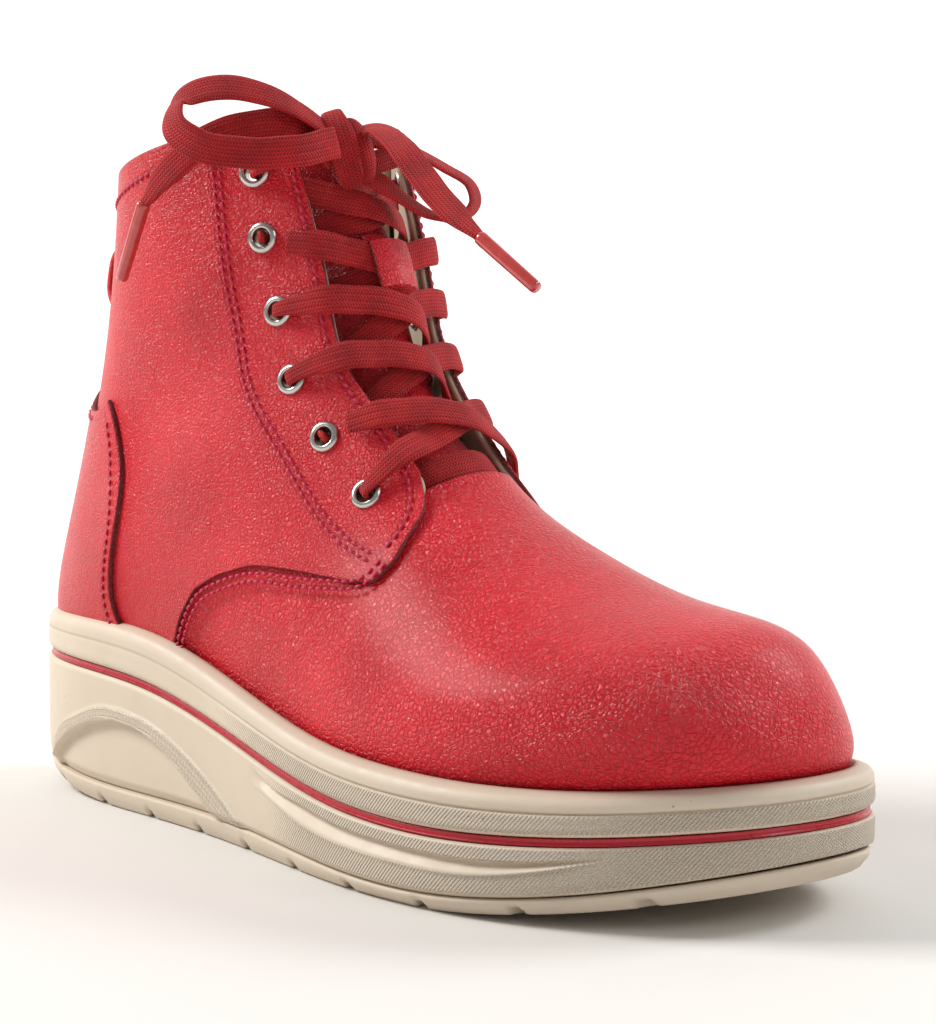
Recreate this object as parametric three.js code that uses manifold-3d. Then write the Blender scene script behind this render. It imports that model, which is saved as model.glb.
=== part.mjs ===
import * as THREE from 'three';
import Module from 'manifold-3d';

const wasm = await Module();
wasm.setup();
const { Manifold, Mesh: SolidMesh } = wasm;

// ---------------------------------------------------------------- sizes, mm
// Right boot, toe along +X, inner (medial) side +Y, floor at z = 0.
// The last: one oval per row, from the toe tip to the collar.
// back x, back z, front x, front z, outer half width, inner half width, shift
const LAST = [
  [77.5, 22.5, 133.0, 32.5, 32.0, 27.5, 7.5], // toe tip
  [54.5, 13.5, 135.5, 41.0, 41.0, 34.5, 4.5], // toe front
  [39.5, 7.0, 128.5, 55.5, 47.0, 40.0, 2.5], // toe crown
  [24.5, 6.0, 115.5, 64.5, 49.5, 43.0, 1.6], // toe box
  [6.0, 9.0, 91.0, 69.0, 49.0, 42.5, 1.0], // ball
  [-21.0, 10.8, 64.5, 78.5, 43.5, 38.2, 0.3], // vamp
  [-53.0, 16.5, 39.5, 92.3, 37.2, 33.2, 0.0], // waist
  [-88.5, 26.0, 22.0, 111.0, 34.5, 31.8, 0.0], // instep
  [-119.0, 33.0, 11.5, 127.0, 35.0, 33.5, 0.0], // long heel
  [-133.0, 42.0, 6.0, 140.0, 33.5, 34.5, 0.0], // heel
  [-128.5, 64.0, 2.0, 152.0, 31.5, 35.0, 0.0], // heel curve
  [-113.0, 101.0, -4.5, 164.5, 32.0, 36.0, 0.0], // ankle
  [-101.0, 137.5, -10.5, 176.0, 33.5, 36.5, 0.0], // shaft
  [-93.0, 171.0, -15.5, 186.0, 35.5, 37.0, 0.0], // collar
];
// Heights along the sole, at these stations in x.
const SOLE_X = [-140, -100, -60, -20, 20, 60, 100, 140];
const FEATHER_Z = [51.2, 51.7, 49.6, 41.2, 33.2, 29.8, 29.6, 32.6];
const STRIPE_Z = [40.9, 39.8, 37.2, 30.0, 22.9, 19.4, 20.3, 23.7];
const SPLIT_Z = [9.9, 6.8, 6.1, 6.2, 5.1, 4.0, 7.4, 15.3];
const FLAT_BACK = -75; // the sole lies flat on the floor between these
const FLAT_FRONT = 65;
const HEEL_LIFT = 6.5; // at x = -140
const TOE_LIFT = 10.5; // at x = +140
const SOLE_OUT = 6.0; // sole stands this far outside the leather
const STRIPE_H = 2.0;
const STRIPE_RECESS = 1.3;
const TREAD_DEPTH = 1.4;
const TREAD_WIDTH = 3.0;
const TREAD_PITCH = 25;

const GAP = 0.3; // between pieces that touch
const TUCK = 3.0; // leather hidden behind the rand
const VAMP_T = 1.3;
const QUARTER_T = 1.4;
const PATCH_T = 1.1;
const LINING_T = 1.1;
const PUFF_T = 0.8;
const BOARD_T = 1.6;
const FOOTBED_T = 4.0;

const EYE_U = [0.93, 0.848, 0.753, 0.642, 0.56, 0.495]; // along the last
const EYE_DEG = [47, 48, 46, 44.5, 44, 42.5]; // round the last
const EYE_BORE = 2.35;
const EYE_BARREL = 2.65;
const EYE_FLANGE = 4.1;
const EYE_SEAT = 0.4; // flange stands off the curved leather

const LACE_W = 7.6;
const LACE_T = 1.5;
const HOLE_W = 3.4; // lace gathered to this in an eyelet
const AGLET_R = 1.8;

const TONGUE_BASE = 0.468;
const TONGUE_TOP = 0.99;
const TONGUE_LEATHER_T = 1.1;
const TONGUE_FOAM_T = 3.0;
const TONGUE_LINING_T = 0.8;

// ---------------------------------------------------------------- helpers
const V = (x, y, z) => new THREE.Vector3(x, y, z);
const lerp = (a, b, t) => a + (b - a) * t;
const clamp = (x, a, b) => Math.min(b, Math.max(a, x));
const smooth = (a, b, x) => {
  const t = clamp((x - a) / (b - a), 0, 1);
  return t * t * (3 - 2 * t);
};

// Natural cubic spline through (xs, ys), straight outside the ends.
function spline(xs, ys) {
  const n = xs.length;
  const m = new Array(n).fill(0);
  const c = new Array(n).fill(0);
  const d = new Array(n).fill(0);
  for (let i = 1; i < n - 1; i += 1) {
    const h0 = xs[i] - xs[i - 1];
    const h1 = xs[i + 1] - xs[i];
    const r = 6 * ((ys[i + 1] - ys[i]) / h1 - (ys[i] - ys[i - 1]) / h0);
    const p = 2 * (h0 + h1) - h0 * c[i - 1];
    c[i] = h1 / p;
    d[i] = (r - h0 * d[i - 1]) / p;
  }
  for (let i = n - 2; i > 0; i -= 1) m[i] = d[i] - c[i] * m[i + 1];
  const value = (x) => {
    let i = 0;
    while (i < n - 2 && x > xs[i + 1]) i += 1;
    const h = xs[i + 1] - xs[i];
    const a = (xs[i + 1] - x) / h;
    const b = (x - xs[i]) / h;
    return a * ys[i] + b * ys[i + 1]
      + ((a ** 3 - a) * m[i] + (b ** 3 - b) * m[i + 1]) * h * h / 6;
  };
  const slope = (x) => (value(x + 1e-4) - value(x - 1e-4)) / 2e-4;
  return (x) => {
    if (x < xs[0]) return ys[0] + (x - xs[0]) * slope(xs[0] + 1e-3);
    if (x > xs[n - 1]) return ys[n - 1] + (x - xs[n - 1]) * slope(xs[n - 1] - 1e-3);
    return value(x);
  };
}

// Straight lines through (xs, ys).
function steps(xs, ys) {
  return (x) => {
    let i = 0;
    while (i < xs.length - 2 && x > xs[i + 1]) i += 1;
    return lerp(ys[i], ys[i + 1], clamp((x - xs[i]) / (xs[i + 1] - xs[i]), 0, 1));
  };
}

const LAST_U = LAST.map((_, i) => i / (LAST.length - 1));
const lastCurve = LAST[0].map((_, k) => spline(LAST_U, LAST.map((row) => row[k])));
const featherZ = spline(SOLE_X, FEATHER_Z);
const stripeZ = spline(SOLE_X, STRIPE_Z);
const splitZ = spline(SOLE_X, SPLIT_Z);
const floorZ = (x) => {
  const heel = HEEL_LIFT * Math.max(0, (FLAT_BACK - x) / (140 + FLAT_BACK)) ** 2;
  const toe = TOE_LIFT * Math.max(0, (x - FLAT_FRONT) / (140 - FLAT_FRONT)) ** 1.5;
  return heel + toe;
};

// A point of the leather's outer face: u along the last, deg round it
// (0 on the ridge, negative on the outer side, 180 on the back seam).
function onLast(u, deg) {
  const a = (deg * Math.PI) / 180;
  const [bx, bz, fx, fz, wo, wi, shift] = lastCurve.map((f) => f(u));
  const k = (1 + Math.cos(a)) / 2;
  const w = Math.sin(a) < 0 ? wo : wi;
  return V(lerp(bx, fx, k), w * Math.sin(a) + shift, lerp(bz, fz, k));
}
function outward(u, deg) {
  const du = onLast(u + 1e-3, deg).sub(onLast(u - 1e-3, deg));
  const dv = onLast(u, deg + 0.5).sub(onLast(u, deg - 0.5));
  return dv.cross(du).normalize();
}
function skin(u, deg, off = 0) {
  return onLast(u, deg).addScaledVector(outward(u, deg), off);
}

// ---------------------------------------------------------------- solids
function solid(points, faces) {
  const vertProperties = new Float32Array(points.length * 3);
  points.forEach((p, i) => vertProperties.set([p.x, p.y, p.z], i * 3));
  const mesh = new SolidMesh({
    numProp: 3, vertProperties, triVerts: new Uint32Array(faces.flat()),
  });
  mesh.merge();
  const made = new Manifold(mesh);
  return made.volume() < 0 ? solid(points, faces.map(([a, b, c]) => [a, c, b])) : made;
}

// Closed sheet between two faces of a grid; face(i, j, side) gives a point.
function sheet(ni, nj, face) {
  const points = [];
  const faces = [];
  const at = (i, j, s) => s * (ni + 1) * (nj + 1) + i * (nj + 1) + j;
  for (let s = 0; s < 2; s += 1) {
    for (let i = 0; i <= ni; i += 1) {
      for (let j = 0; j <= nj; j += 1) points.push(face(i / ni, j / nj, s));
    }
  }
  const quad = (a, b, c, d) => faces.push([a, b, c], [a, c, d]);
  for (let i = 0; i < ni; i += 1) {
    for (let j = 0; j < nj; j += 1) {
      quad(at(i, j, 1), at(i + 1, j, 1), at(i + 1, j + 1, 1), at(i, j + 1, 1));
      quad(at(i, j + 1, 0), at(i + 1, j + 1, 0), at(i + 1, j, 0), at(i, j, 0));
    }
    quad(at(i, 0, 0), at(i + 1, 0, 0), at(i + 1, 0, 1), at(i, 0, 1));
    quad(at(i, nj, 1), at(i + 1, nj, 1), at(i + 1, nj, 0), at(i, nj, 0));
  }
  for (let j = 0; j < nj; j += 1) {
    quad(at(0, j, 1), at(0, j + 1, 1), at(0, j + 1, 0), at(0, j, 0));
    quad(at(ni, j, 0), at(ni, j + 1, 0), at(ni, j + 1, 1), at(ni, j, 1));
  }
  return solid(points, faces);
}

// Stack of closed rings with the same number of points, capped strip by strip.
function stack(rings) {
  const n = rings[0].length;
  const faces = [];
  const points = rings.flat();
  for (let r = 0; r + 1 < rings.length; r += 1) {
    for (let i = 0; i < n; i += 1) {
      const a = r * n + i;
      const b = r * n + ((i + 1) % n);
      faces.push([a, b, b + n], [a, b + n, a + n]);
    }
  }
  const cap = (base, turn) => {
    for (let i = 0; i < n / 2; i += 1) {
      const a = base + i;
      const b = base + i + 1;
      const c = base + ((n - i - 1) % n);
      const d = base + ((n - i) % n);
      const put = (p, q, s) => {
        if (p !== q && q !== s && s !== p) faces.push(turn ? [p, s, q] : [p, q, s]);
      };
      put(a, b, c);
      put(a, c, d);
    }
  };
  cap(0, true);
  cap((rings.length - 1) * n, false);
  return solid(points, faces);
}

// Everything under the feather surface moved by rise.
function underFeather(rise) {
  const n = 44;
  return sheet(n, 1, (a, b, s) => {
    const x = lerp(-170, 170, a);
    return V(x, lerp(-80, 80, b), s ? featherZ(clamp(x, -140, 140)) + rise : -60);
  });
}

// The whole last as a tube, moved outward by off(u).
function tube(off, u0, u1, nu, nd) {
  const rings = [];
  for (let i = 0; i <= nu; i += 1) {
    const u = lerp(u0, u1, i / nu);
    const ring = [];
    for (let j = 0; j < nd; j += 1) ring.push(skin(u, (360 * j) / nd, off(u)));
    rings.push(ring);
  }
  return stack(rings);
}

const cutUpper = underFeather(-TUCK);
const trimmed = (piece) => piece.subtract(cutUpper).subtract(underfoot());

// ---------------------------------------------------------------- feather line
function featherLine(count) {
  const half = [];
  const level = (u, deg) => {
    const p = onLast(u, deg);
    return p.z - featherZ(clamp(p.x, -140, 140));
  };
  let toe = -0.05;
  for (let i = 0; i < 60; i += 1) if (level(toe + 0.002, 0) < 0) toe += 0.002;
  let heel = 0.6;
  for (let i = 0; i < 300; i += 1) if (level(heel + 0.001, 180) < 0) heel += 0.001;
  const fine = 240;
  for (let i = 0; i <= fine; i += 1) {
    const t = i / fine;
    const u = lerp(toe, heel, (1 - Math.cos(Math.PI * t)) / 2);
    let a = 0;
    let b = 180;
    for (let k = 0; k < 30; k += 1) {
      const m = (a + b) / 2;
      if (level(u, m) > 0) a = m;
      else b = m;
    }
    half.push({ out: onLast(u, -a), inn: onLast(u, a) });
  }
  const loop = [...half.map((h) => h.out), ...half.slice(1, -1).reverse().map((h) => h.inn)];
  return evenly(loop, count);
}
function evenly(loop, count) {
  const run = [0];
  loop.forEach((p, i) => run.push(run[i] + p.distanceTo(loop[(i + 1) % loop.length])));
  const total = run[loop.length];
  const out = [];
  let k = 0;
  for (let i = 0; i < count; i += 1) {
    const s = (total * i) / count;
    while (run[k + 1] < s) k += 1;
    const t = (s - run[k]) / (run[k + 1] - run[k]);
    out.push(loop[k % loop.length].clone().lerp(loop[(k + 1) % loop.length], t));
  }
  return out;
}
const SOLE_STEPS = 56;
const feather = featherLine(SOLE_STEPS);

// The feather line in plan moved outward by off, at height z(x).
function soleRing(off, z) {
  const n = feather.length;
  return feather.map((p, i) => {
    const a = feather[(i + n - 1) % n];
    const b = feather[(i + 1) % n];
    const t = V(b.x - a.x, b.y - a.y, 0).normalize();
    const x = p.x + t.y * off * soleTurn;
    const y = p.y - t.x * off * soleTurn;
    return V(x, y, z(x));
  });
}
// +1 or -1 so that a positive offset grows the outline.
const soleTurn = (() => {
  let area = 0;
  feather.forEach((p, i) => {
    const q = feather[(i + 1) % feather.length];
    area += p.x * q.y - q.x * p.y;
  });
  return area > 0 ? 1 : -1;
})();

// The space the insole board and footbed fill.
const BOARD_IN = -5.2; // insole board, measured from the feather line
const boardTop = -TUCK + BOARD_T;
const underfoot = () => stack([
  soleRing(BOARD_IN + GAP, (x) => featherZ(x) - 3 * TUCK),
  soleRing(BOARD_IN + GAP, (x) => featherZ(x) + boardTop + FOOTBED_T + 2 * GAP),
]);

// ---------------------------------------------------------------- sole
function outsole() {
  const body = stack([
    soleRing(SOLE_OUT - 3.8, floorZ),
    soleRing(SOLE_OUT - 2.6, (x) => floorZ(x) + 0.9),
    soleRing(SOLE_OUT - 1.2, (x) => splitZ(x) - 0.15 - GAP / 2),
  ]);
  let out = body;
  for (let x = FLAT_BACK - 35; x < 125; x += TREAD_PITCH) {
    const groove = Manifold.cube([TREAD_WIDTH, 160, 2 * TREAD_DEPTH], true);
    out = out.subtract(groove.translate([x, 0, floorZ(x)]));
  }
  return out;
}
const underStripe = (x) => stripeZ(x) - STRIPE_H;
function midsoleLower() {
  const waist = (x) => lerp(splitZ(x), underStripe(x), 0.55);
  return stack([
    soleRing(SOLE_OUT - 1.0, (x) => splitZ(x) + GAP / 2),
    soleRing(SOLE_OUT, waist),
    soleRing(SOLE_OUT - 0.5, (x) => underStripe(x) - GAP / 2),
  ]);
}
function soleStripe() {
  return stack([
    soleRing(SOLE_OUT - STRIPE_RECESS, (x) => underStripe(x) + GAP / 2),
    soleRing(SOLE_OUT - STRIPE_RECESS, (x) => stripeZ(x) - GAP / 2),
  ]);
}
// Room the upper takes in the rand: more where more leathers overlap.
const room = (u) => 0.35 + 1.85 * smooth(0.494, 0.508, u) + 2.5 * smooth(0.55, 0.564, u);
function midsoleUpper() {
  const body = stack([
    soleRing(SOLE_OUT - 0.5, (x) => stripeZ(x) + GAP / 2),
    soleRing(SOLE_OUT, (x) => lerp(stripeZ(x), featherZ(x), 0.35)),
    soleRing(SOLE_OUT - 1.3, (x) => featherZ(x) - 1.8),
    soleRing(SOLE_OUT - 2.4, (x) => featherZ(x)),
    soleRing(SOLE_OUT - 4.5, (x) => featherZ(x) - 0.2),
  ]);
  const foot = tube(room, -0.03, 0.8, 32, 36).subtract(underFeather(-TUCK - GAP));
  const dish = stack([
    soleRing(BOARD_IN + GAP, (x) => featherZ(x) - TUCK - GAP),
    soleRing(BOARD_IN + GAP, (x) => featherZ(x) + 5),
  ]);
  return body.subtract(foot).subtract(dish).subtract(shankBox(GAP));
}
// Steel strip let into the top of the midsole under the waist.
function shankBox(grow) {
  const half = 6 + grow;
  return sheet(12, 1, (a, b, s) => {
    const x = lerp(-80 - grow, 20 + grow, a);
    const top = featherZ(x) - TUCK - GAP;
    return V(x, lerp(-half, half, b), s ? top + grow : top - 1.8 - grow);
  });
}
const shank = () => sheet(12, 1, (a, b, s) => {
  const x = lerp(-80, 20, a);
  const top = featherZ(x) - TUCK - GAP;
  return V(x, lerp(-6, 6, b), s ? top - 0.1 : top - 1.8);
});
function insideSlab(low, high, off) {
  return stack([
    soleRing(off, (x) => featherZ(x) + low),
    soleRing(off, (x) => featherZ(x) + high),
  ]);
}
const insoleBoard = () => insideSlab(-TUCK, boardTop, BOARD_IN);
const footbed = () => insideSlab(boardTop + GAP, boardTop + GAP + FOOTBED_T, BOARD_IN - 0.2);

// ---------------------------------------------------------------- upper
const A_VAMP = [0, 52, 60, 70, 80, 100, 140];
const vampEnd = steps(A_VAMP, [0.478, 0.478, 0.5, 0.52, 0.54, 0.56, 0.56]);
const toeDrop = (u) => 1 - smooth(0.27, 0.35, u);
const PUFF_GAP = 0.65;
const liningOut = (u) => -VAMP_T - PUFF_GAP - (PUFF_T + GAP) * toeDrop(u);

// Rows every layer shares, so that stacked sheets stay parallel.
const ROWS = [0.03, 0.07, 0.11, 0.155, 0.21, 0.27, 0.34, 0.39, 0.43, 0.465, 0.5, 0.54, 0.59,
  0.64, 0.69, 0.74, 0.79, 0.85, 0.92];
// The rows of a column that runs from low to high, the same number in each column.
function rowPlan(columns, low, high) {
  const least = Math.min(...columns.map(low));
  const most = Math.max(...columns.map(high));
  const inner = ROWS.filter((u) => u > least + 0.01 && u < most - 0.01);
  const n = inner.length + 1;
  const squeeze = 0.0015;
  return {
    n,
    at: (c, i) => {
      if (i === 0) return low(c);
      if (i === n) return high(c);
      return clamp(inner[i - 1], low(c) + squeeze * i, high(c) - squeeze * (n - i));
    },
  };
}

// A band over the ridge from the toe to end(|deg|), between two offsets.
const FORE_COLUMNS = 16;
const TOE_START = -0.012;
function foreBand(start, end, low, high) {
  const degs = [];
  for (let j = 0; j <= FORE_COLUMNS; j += 1) degs.push(lerp(-140, 140, j / FORE_COLUMNS));
  const plan = rowPlan(degs, () => start, (d) => end(Math.abs(d)));
  return trimmed(sheet(plan.n, FORE_COLUMNS, (a, b, s) => {
    const deg = degs[Math.round(b * FORE_COLUMNS)];
    const u = plan.at(deg, Math.round(a * plan.n));
    return skin(u, deg, s ? high(u) : low(u));
  }));
}
const vamp = () => foreBand(TOE_START, vampEnd, () => -VAMP_T, () => 0);
const toePuff = () => foreBand(
  0.015, () => 0.25, () => -VAMP_T - PUFF_GAP - PUFF_T, () => -VAMP_T - PUFF_GAP,
);
const vampLining = () => foreBand(
  0.01, (d) => vampEnd(d) - 0.004, (u) => liningOut(u) - LINING_T, liningOut,
);

// Lower edge of the quarter as u against degrees round the last.
const Q_DEG = [27, 31, 36.5, 47.5, 55, 60, 69, 79, 88, 95.5, 106, 115, 125, 180];
const Q_U = [0.474, 0.457, 0.45, 0.432, 0.427, 0.44, 0.475, 0.51, 0.527, 0.535, 0.53, 0.522,
  0.515, 0.515];
const quarterLow = steps(Q_DEG, Q_U);
const quarterEdge = spline([0.45, 0.505, 0.578, 0.672, 0.81, 0.9, 1],
  [26.5, 25.5, 28.5, 30, 31, 30.5, 30]);
const BACK_COLUMNS = [70, 80, 90, 100, 110, 121, 134, 148, 164, 179.5];
const Q_COLUMNS = [27, 31, 36, 43, 50, 56, 62, ...BACK_COLUMNS];

// A side panel: columns in degrees, from low(deg) up to high, edge bent to front(u).
function sidePanel(side, columns, low, high, front, inner, outer) {
  const last = columns[columns.length - 1];
  const plan = rowPlan(columns, low, () => high);
  return sheet(plan.n, columns.length - 1, (a, b, s) => {
    const c = columns[Math.round(b * (columns.length - 1))];
    const u = plan.at(c, Math.round(a * plan.n));
    const share = (last - c) / (last - columns[0]);
    const deg = last - (last - front(u)) * share;
    return skin(u, side * deg, s ? outer : inner);
  });
}
function eyeAt(side, row, off) {
  return {
    at: skin(EYE_U[row], side * EYE_DEG[row], off),
    out: outward(EYE_U[row], side * EYE_DEG[row]),
  };
}
function place(piece, side, row) {
  const { at, out } = eyeAt(side, row, 0);
  const turn = new THREE.Quaternion().setFromUnitVectors(V(0, 0, 1), out);
  const m = new THREE.Matrix4().compose(at, turn, V(1, 1, 1));
  return piece.transform(m.elements);
}
function punched(piece, side) {
  let out = piece;
  EYE_U.forEach((_, row) => {
    const hole = Manifold.cylinder(12, EYE_BARREL + GAP, EYE_BARREL + GAP, 8, true);
    out = out.subtract(place(hole, side, row));
  });
  return out;
}
const Q_IN = GAP;
const PAD_OUTER = -0.25;
const PAD_INNER = 0.1 - VAMP_T;
const Q_OUT = GAP + QUARTER_T;
function quarter(side) {
  const panel = sidePanel(side, Q_COLUMNS, quarterLow, 1, quarterEdge, Q_IN, Q_OUT);
  return trimmed(punched(panel, side));
}
const FACING_BACK = 60;
function facingLining(side) {
  const columns = [28, 36, 44, 52, FACING_BACK];
  const low = (d) => vampEnd(d) + 0.005;
  const front = (u) => quarterEdge(u) + 0.5;
  const panel = sidePanel(side, columns, low, 0.985, front, -VAMP_T, PAD_OUTER);
  return punched(panel, side);
}
const PAD_FRONT = FACING_BACK + 1;
const stiffTop = 0.79;
function quarterPadding(side) {
  const columns = [PAD_FRONT, ...BACK_COLUMNS];
  const low = (d) => lerp(vampEnd(d) + 0.006, stiffTop + 0.008, smooth(66, 110, d));
  return trimmed(sidePanel(side, columns, low, 0.985, () => PAD_FRONT, PAD_INNER, PAD_OUTER));
}
function quarterLining(side) {
  const columns = [55, 62, ...BACK_COLUMNS];
  const low = (d) => vampEnd(d) + 0.006;
  const top = -VAMP_T - 2 * GAP;
  return trimmed(sidePanel(side, columns, low, 0.995, () => 55, top - LINING_T, top));
}

// A patch round the heel: from side to side through the back seam.
function heelBand(half, shares, low, high, inner, outer) {
  const columns = [...shares.map((x) => -x), 0, ...[...shares].reverse()];
  const plan = rowPlan(columns, () => low, (x) => high(Math.abs(x)));
  return trimmed(sheet(plan.n, columns.length - 1, (a, b, s) => {
    const x = columns[Math.round(b * (columns.length - 1))];
    const u = plan.at(x, Math.round(a * plan.n));
    return skin(u, 180 + x * (180 - half(u)), s ? outer : inner);
  }));
}
const STIFF_FRONT = 113;
const STIFF_SHARES = [STIFF_FRONT, 121, 134, 148, 164]
  .map((d) => (180 - d) / (180 - STIFF_FRONT));
const heelStiffener = () => heelBand(
  () => STIFF_FRONT, STIFF_SHARES, 0.568, () => stiffTop, PAD_INNER, PAD_OUTER,
);
const PATCH_FRONT = spline([0.5, 0.583, 0.628, 0.685, 0.772, 0.823, 0.87],
  [127, 119.5, 106, 96, 99.5, 110, 128]);
const patchTop = (t) => 0.872 - 0.05 * smooth(0.45, 1, t);
const PATCH_IN = Q_OUT + GAP + 0.5;
const heelPatch = () => heelBand(
  PATCH_FRONT, [1, 0.9, 0.78, 0.66, 0.54, 0.42, 0.3, 0.15], 0.53, patchTop,
  PATCH_IN, PATCH_IN + PATCH_T,
);

// Pull strap: a bracket of folded leather standing off the back seam.
const STRAP_W = 18;
const STRAP_T = 2.6;
const STRAP_OUT = 7.5;
function backAt(z, off) {
  let u = 0.8;
  for (let i = 0; i < 40; i += 1) u += (z - skin(u, 180, off).z) * 0.0012;
  return skin(u, 180, off);
}
function pullStrap() {
  const foot = Q_OUT + GAP;
  const line = [
    backAt(155.5, foot + 0.5),
    backAt(155.8, foot + 3.2),
    backAt(153.5, foot + STRAP_OUT - 1.6),
    backAt(150, foot + STRAP_OUT),
    backAt(145, foot + STRAP_OUT + 0.3),
    backAt(140, foot + STRAP_OUT),
    backAt(136.5, foot + STRAP_OUT - 1.6),
    backAt(134.2, foot + 3.2),
    backAt(134.5, foot + 0.5),
  ];
  return bent(line, STRAP_W, STRAP_T);
}
// A strip of even thickness bent along a line in the X-Z plane, inside the line.
function bent(line, width, thick) {
  const n = line.length - 1;
  return sheet(n, 1, (a, b, s) => {
    const i = Math.round(a * n);
    const p = line[Math.max(0, i - 1)];
    const q = line[Math.min(n, i + 1)];
    const t = q.clone().sub(p).normalize();
    const side = V(t.z, 0, -t.x);
    const c = line[i].clone().addScaledVector(side, s ? 0 : -thick);
    return V(c.x, lerp(-width / 2, width / 2, b), c.z);
  });
}
function strapPlate() {
  const foot = Q_OUT + GAP + STRAP_OUT + GAP + 0.15;
  const line = [backAt(149, foot), backAt(145, foot + 0.3), backAt(141, foot)];
  const n = line.length - 1;
  return sheet(n, 1, (a, b, s) => {
    const c = line[Math.round(a * n)];
    return V(c.x - (s ? 0.8 : 0), lerp(-6, 6, b), c.z);
  });
}

// ---------------------------------------------------------------- tongue
const tongueOut = spline([0.468, 0.5, 0.53, 0.6, 0.8, 0.95, 1.0],
  [-3.7, -4.4, -5.8, -6.8, -7.4, -6.8, -6.2]);
const tongueHalf = spline([0.468, 0.53, 0.62, 0.8, 1.0], [20, 30, 37, 40, 41]);
function tongueLayer(low, high, shrink, ni, nj) {
  return sheet(ni, nj, (a, b, s) => {
    const u = lerp(TONGUE_BASE + shrink * 0.002, TONGUE_TOP - shrink * 0.006, a);
    const corner = 1 - 0.35 * smooth(0.86, 1, a) ** 2;
    const deg = lerp(-1, 1, b) * (tongueHalf(u) - shrink) * corner;
    return skin(u, deg, tongueOut(u) - (s ? low : high));
  });
}
const tongueLeather = () => tongueLayer(0, TONGUE_LEATHER_T, 0, 12, 6);
const foamTop = TONGUE_LEATHER_T + 2.5 * GAP;
const tongueFoam = () => tongueLayer(foamTop, foamTop + TONGUE_FOAM_T, 1, 12, 6);
const liningTop = foamTop + TONGUE_FOAM_T + 2.5 * GAP;
const tongueLining = () => tongueLayer(liningTop, liningTop + TONGUE_LINING_T, 0.5, 12, 6);

// Strap on the tongue that the laces pass under.
const KEEPER = { u: 0.75, half: 0.062, width: 7.0, thick: 1.1 };
function tongueKeeper(grow = 0) {
  const rise = [0.35, 0.4, 0.7, 4.6, 4.9, 4.6, 0.7, 0.4, 0.35];
  const along = [-1, -0.88, -0.78, -0.64, 0, 0.64, 0.78, 0.88, 1];
  return sheet(8, 3, (a, b, s) => {
    const i = Math.round(a * 8);
    const end = i % 8 ? 0 : Math.sign(along[i]) * 0.008 * grow;
    const u = KEEPER.u + KEEPER.half * along[i] + end;
    const p = skin(u, 0, 0);
    const deg = (lerp(-1, 1, b) * KEEPER.width * 180) / (Math.PI * 36);
    const q = skin(u, deg, tongueOut(u) + rise[i] + (s ? KEEPER.thick + grow : -grow));
    return V(q.x, p.y + lerp(-1, 1, b) * (KEEPER.width + grow), q.z);
  });
}

// ---------------------------------------------------------------- eyelets
// grow makes the shape the lace must keep clear of.
function eyelet(side, row, grow = 0) {
  const front = Q_OUT;
  const back = -VAMP_T;
  const profile = [
    [EYE_BORE - grow, back - 0.9 - grow],
    [EYE_FLANGE - 0.4 + grow, back - 0.9 - grow],
    [EYE_FLANGE - 0.4 + grow, back - EYE_SEAT],
    [EYE_BARREL, back - EYE_SEAT],
    [EYE_BARREL, front + EYE_SEAT],
    [EYE_FLANGE + grow, front + EYE_SEAT],
    [EYE_FLANGE - 0.7 + grow, front + 0.95 + grow],
    [EYE_BORE - grow, front + 0.9 + grow],
  ];
  const points = [];
  const faces = [];
  const n = 8;
  const m = profile.length;
  for (let i = 0; i < n; i += 1) {
    const a = (2 * Math.PI * i) / n;
    profile.forEach(([r, z]) => points.push(V(r * Math.cos(a), r * Math.sin(a), z)));
  }
  for (let i = 0; i < n; i += 1) {
    for (let j = 0; j < m; j += 1) {
      const a = i * m + j;
      const b = i * m + ((j + 1) % m);
      const c = ((i + 1) % n) * m + ((j + 1) % m);
      const d = ((i + 1) % n) * m + j;
      faces.push([a, b, c], [a, c, d]);
    }
  }
  return place(solid(points, faces), side, row);
}

// ---------------------------------------------------------------- laces
// Face normals at the knots, each turned the way the one before it points.
function carried(knots) {
  const last = knots.length - 1;
  const along = (i) => knots[Math.min(last, i + 1)].p.clone()
    .sub(knots[Math.max(0, i - 1)].p).normalize();
  const out = [knots[0].n.clone()];
  for (let i = 1; i <= last; i += 1) {
    const turn = new THREE.Quaternion().setFromUnitVectors(along(i - 1), along(i));
    const carry = out[i - 1].clone().applyQuaternion(turn);
    const n = knots[i].n.clone();
    out.push(n.dot(carry) < 0 ? n.negate() : n);
  }
  return out;
}
// A flat woven strip through knots {p, n, w}: centre, face normal, width.
function ribbon(knots, sub = 2, thick = LACE_T) {
  const curve = new THREE.CatmullRomCurve3(knots.map((k) => k.p), false, 'centripetal');
  const faces = carried(knots);
  const n = (knots.length - 1) * sub;
  const frames = [];
  for (let i = 0; i <= n; i += 1) {
    const t = i / n;
    const f = t * (knots.length - 1);
    const k = Math.min(knots.length - 2, Math.floor(f));
    const p = curve.getPoint(t);
    const tan = curve.getTangent(t);
    const nor = faces[k].clone().lerp(faces[k + 1], f - k);
    nor.addScaledVector(tan, -nor.dot(tan)).normalize();
    const wide = tan.clone().cross(nor);
    frames.push({ p, nor, wide, w: lerp(knots[k].w, knots[k + 1].w, f - k) / 2 });
  }
  const rings = frames.map(({ p, nor, wide, w }) => [[1, 1], [-1, 1], [-1, -1], [1, -1]].map(
    ([a, b]) => p.clone().addScaledVector(wide, a * w).addScaledVector(nor, (b * thick) / 2),
  ));
  return stack(rings);
}
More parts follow.
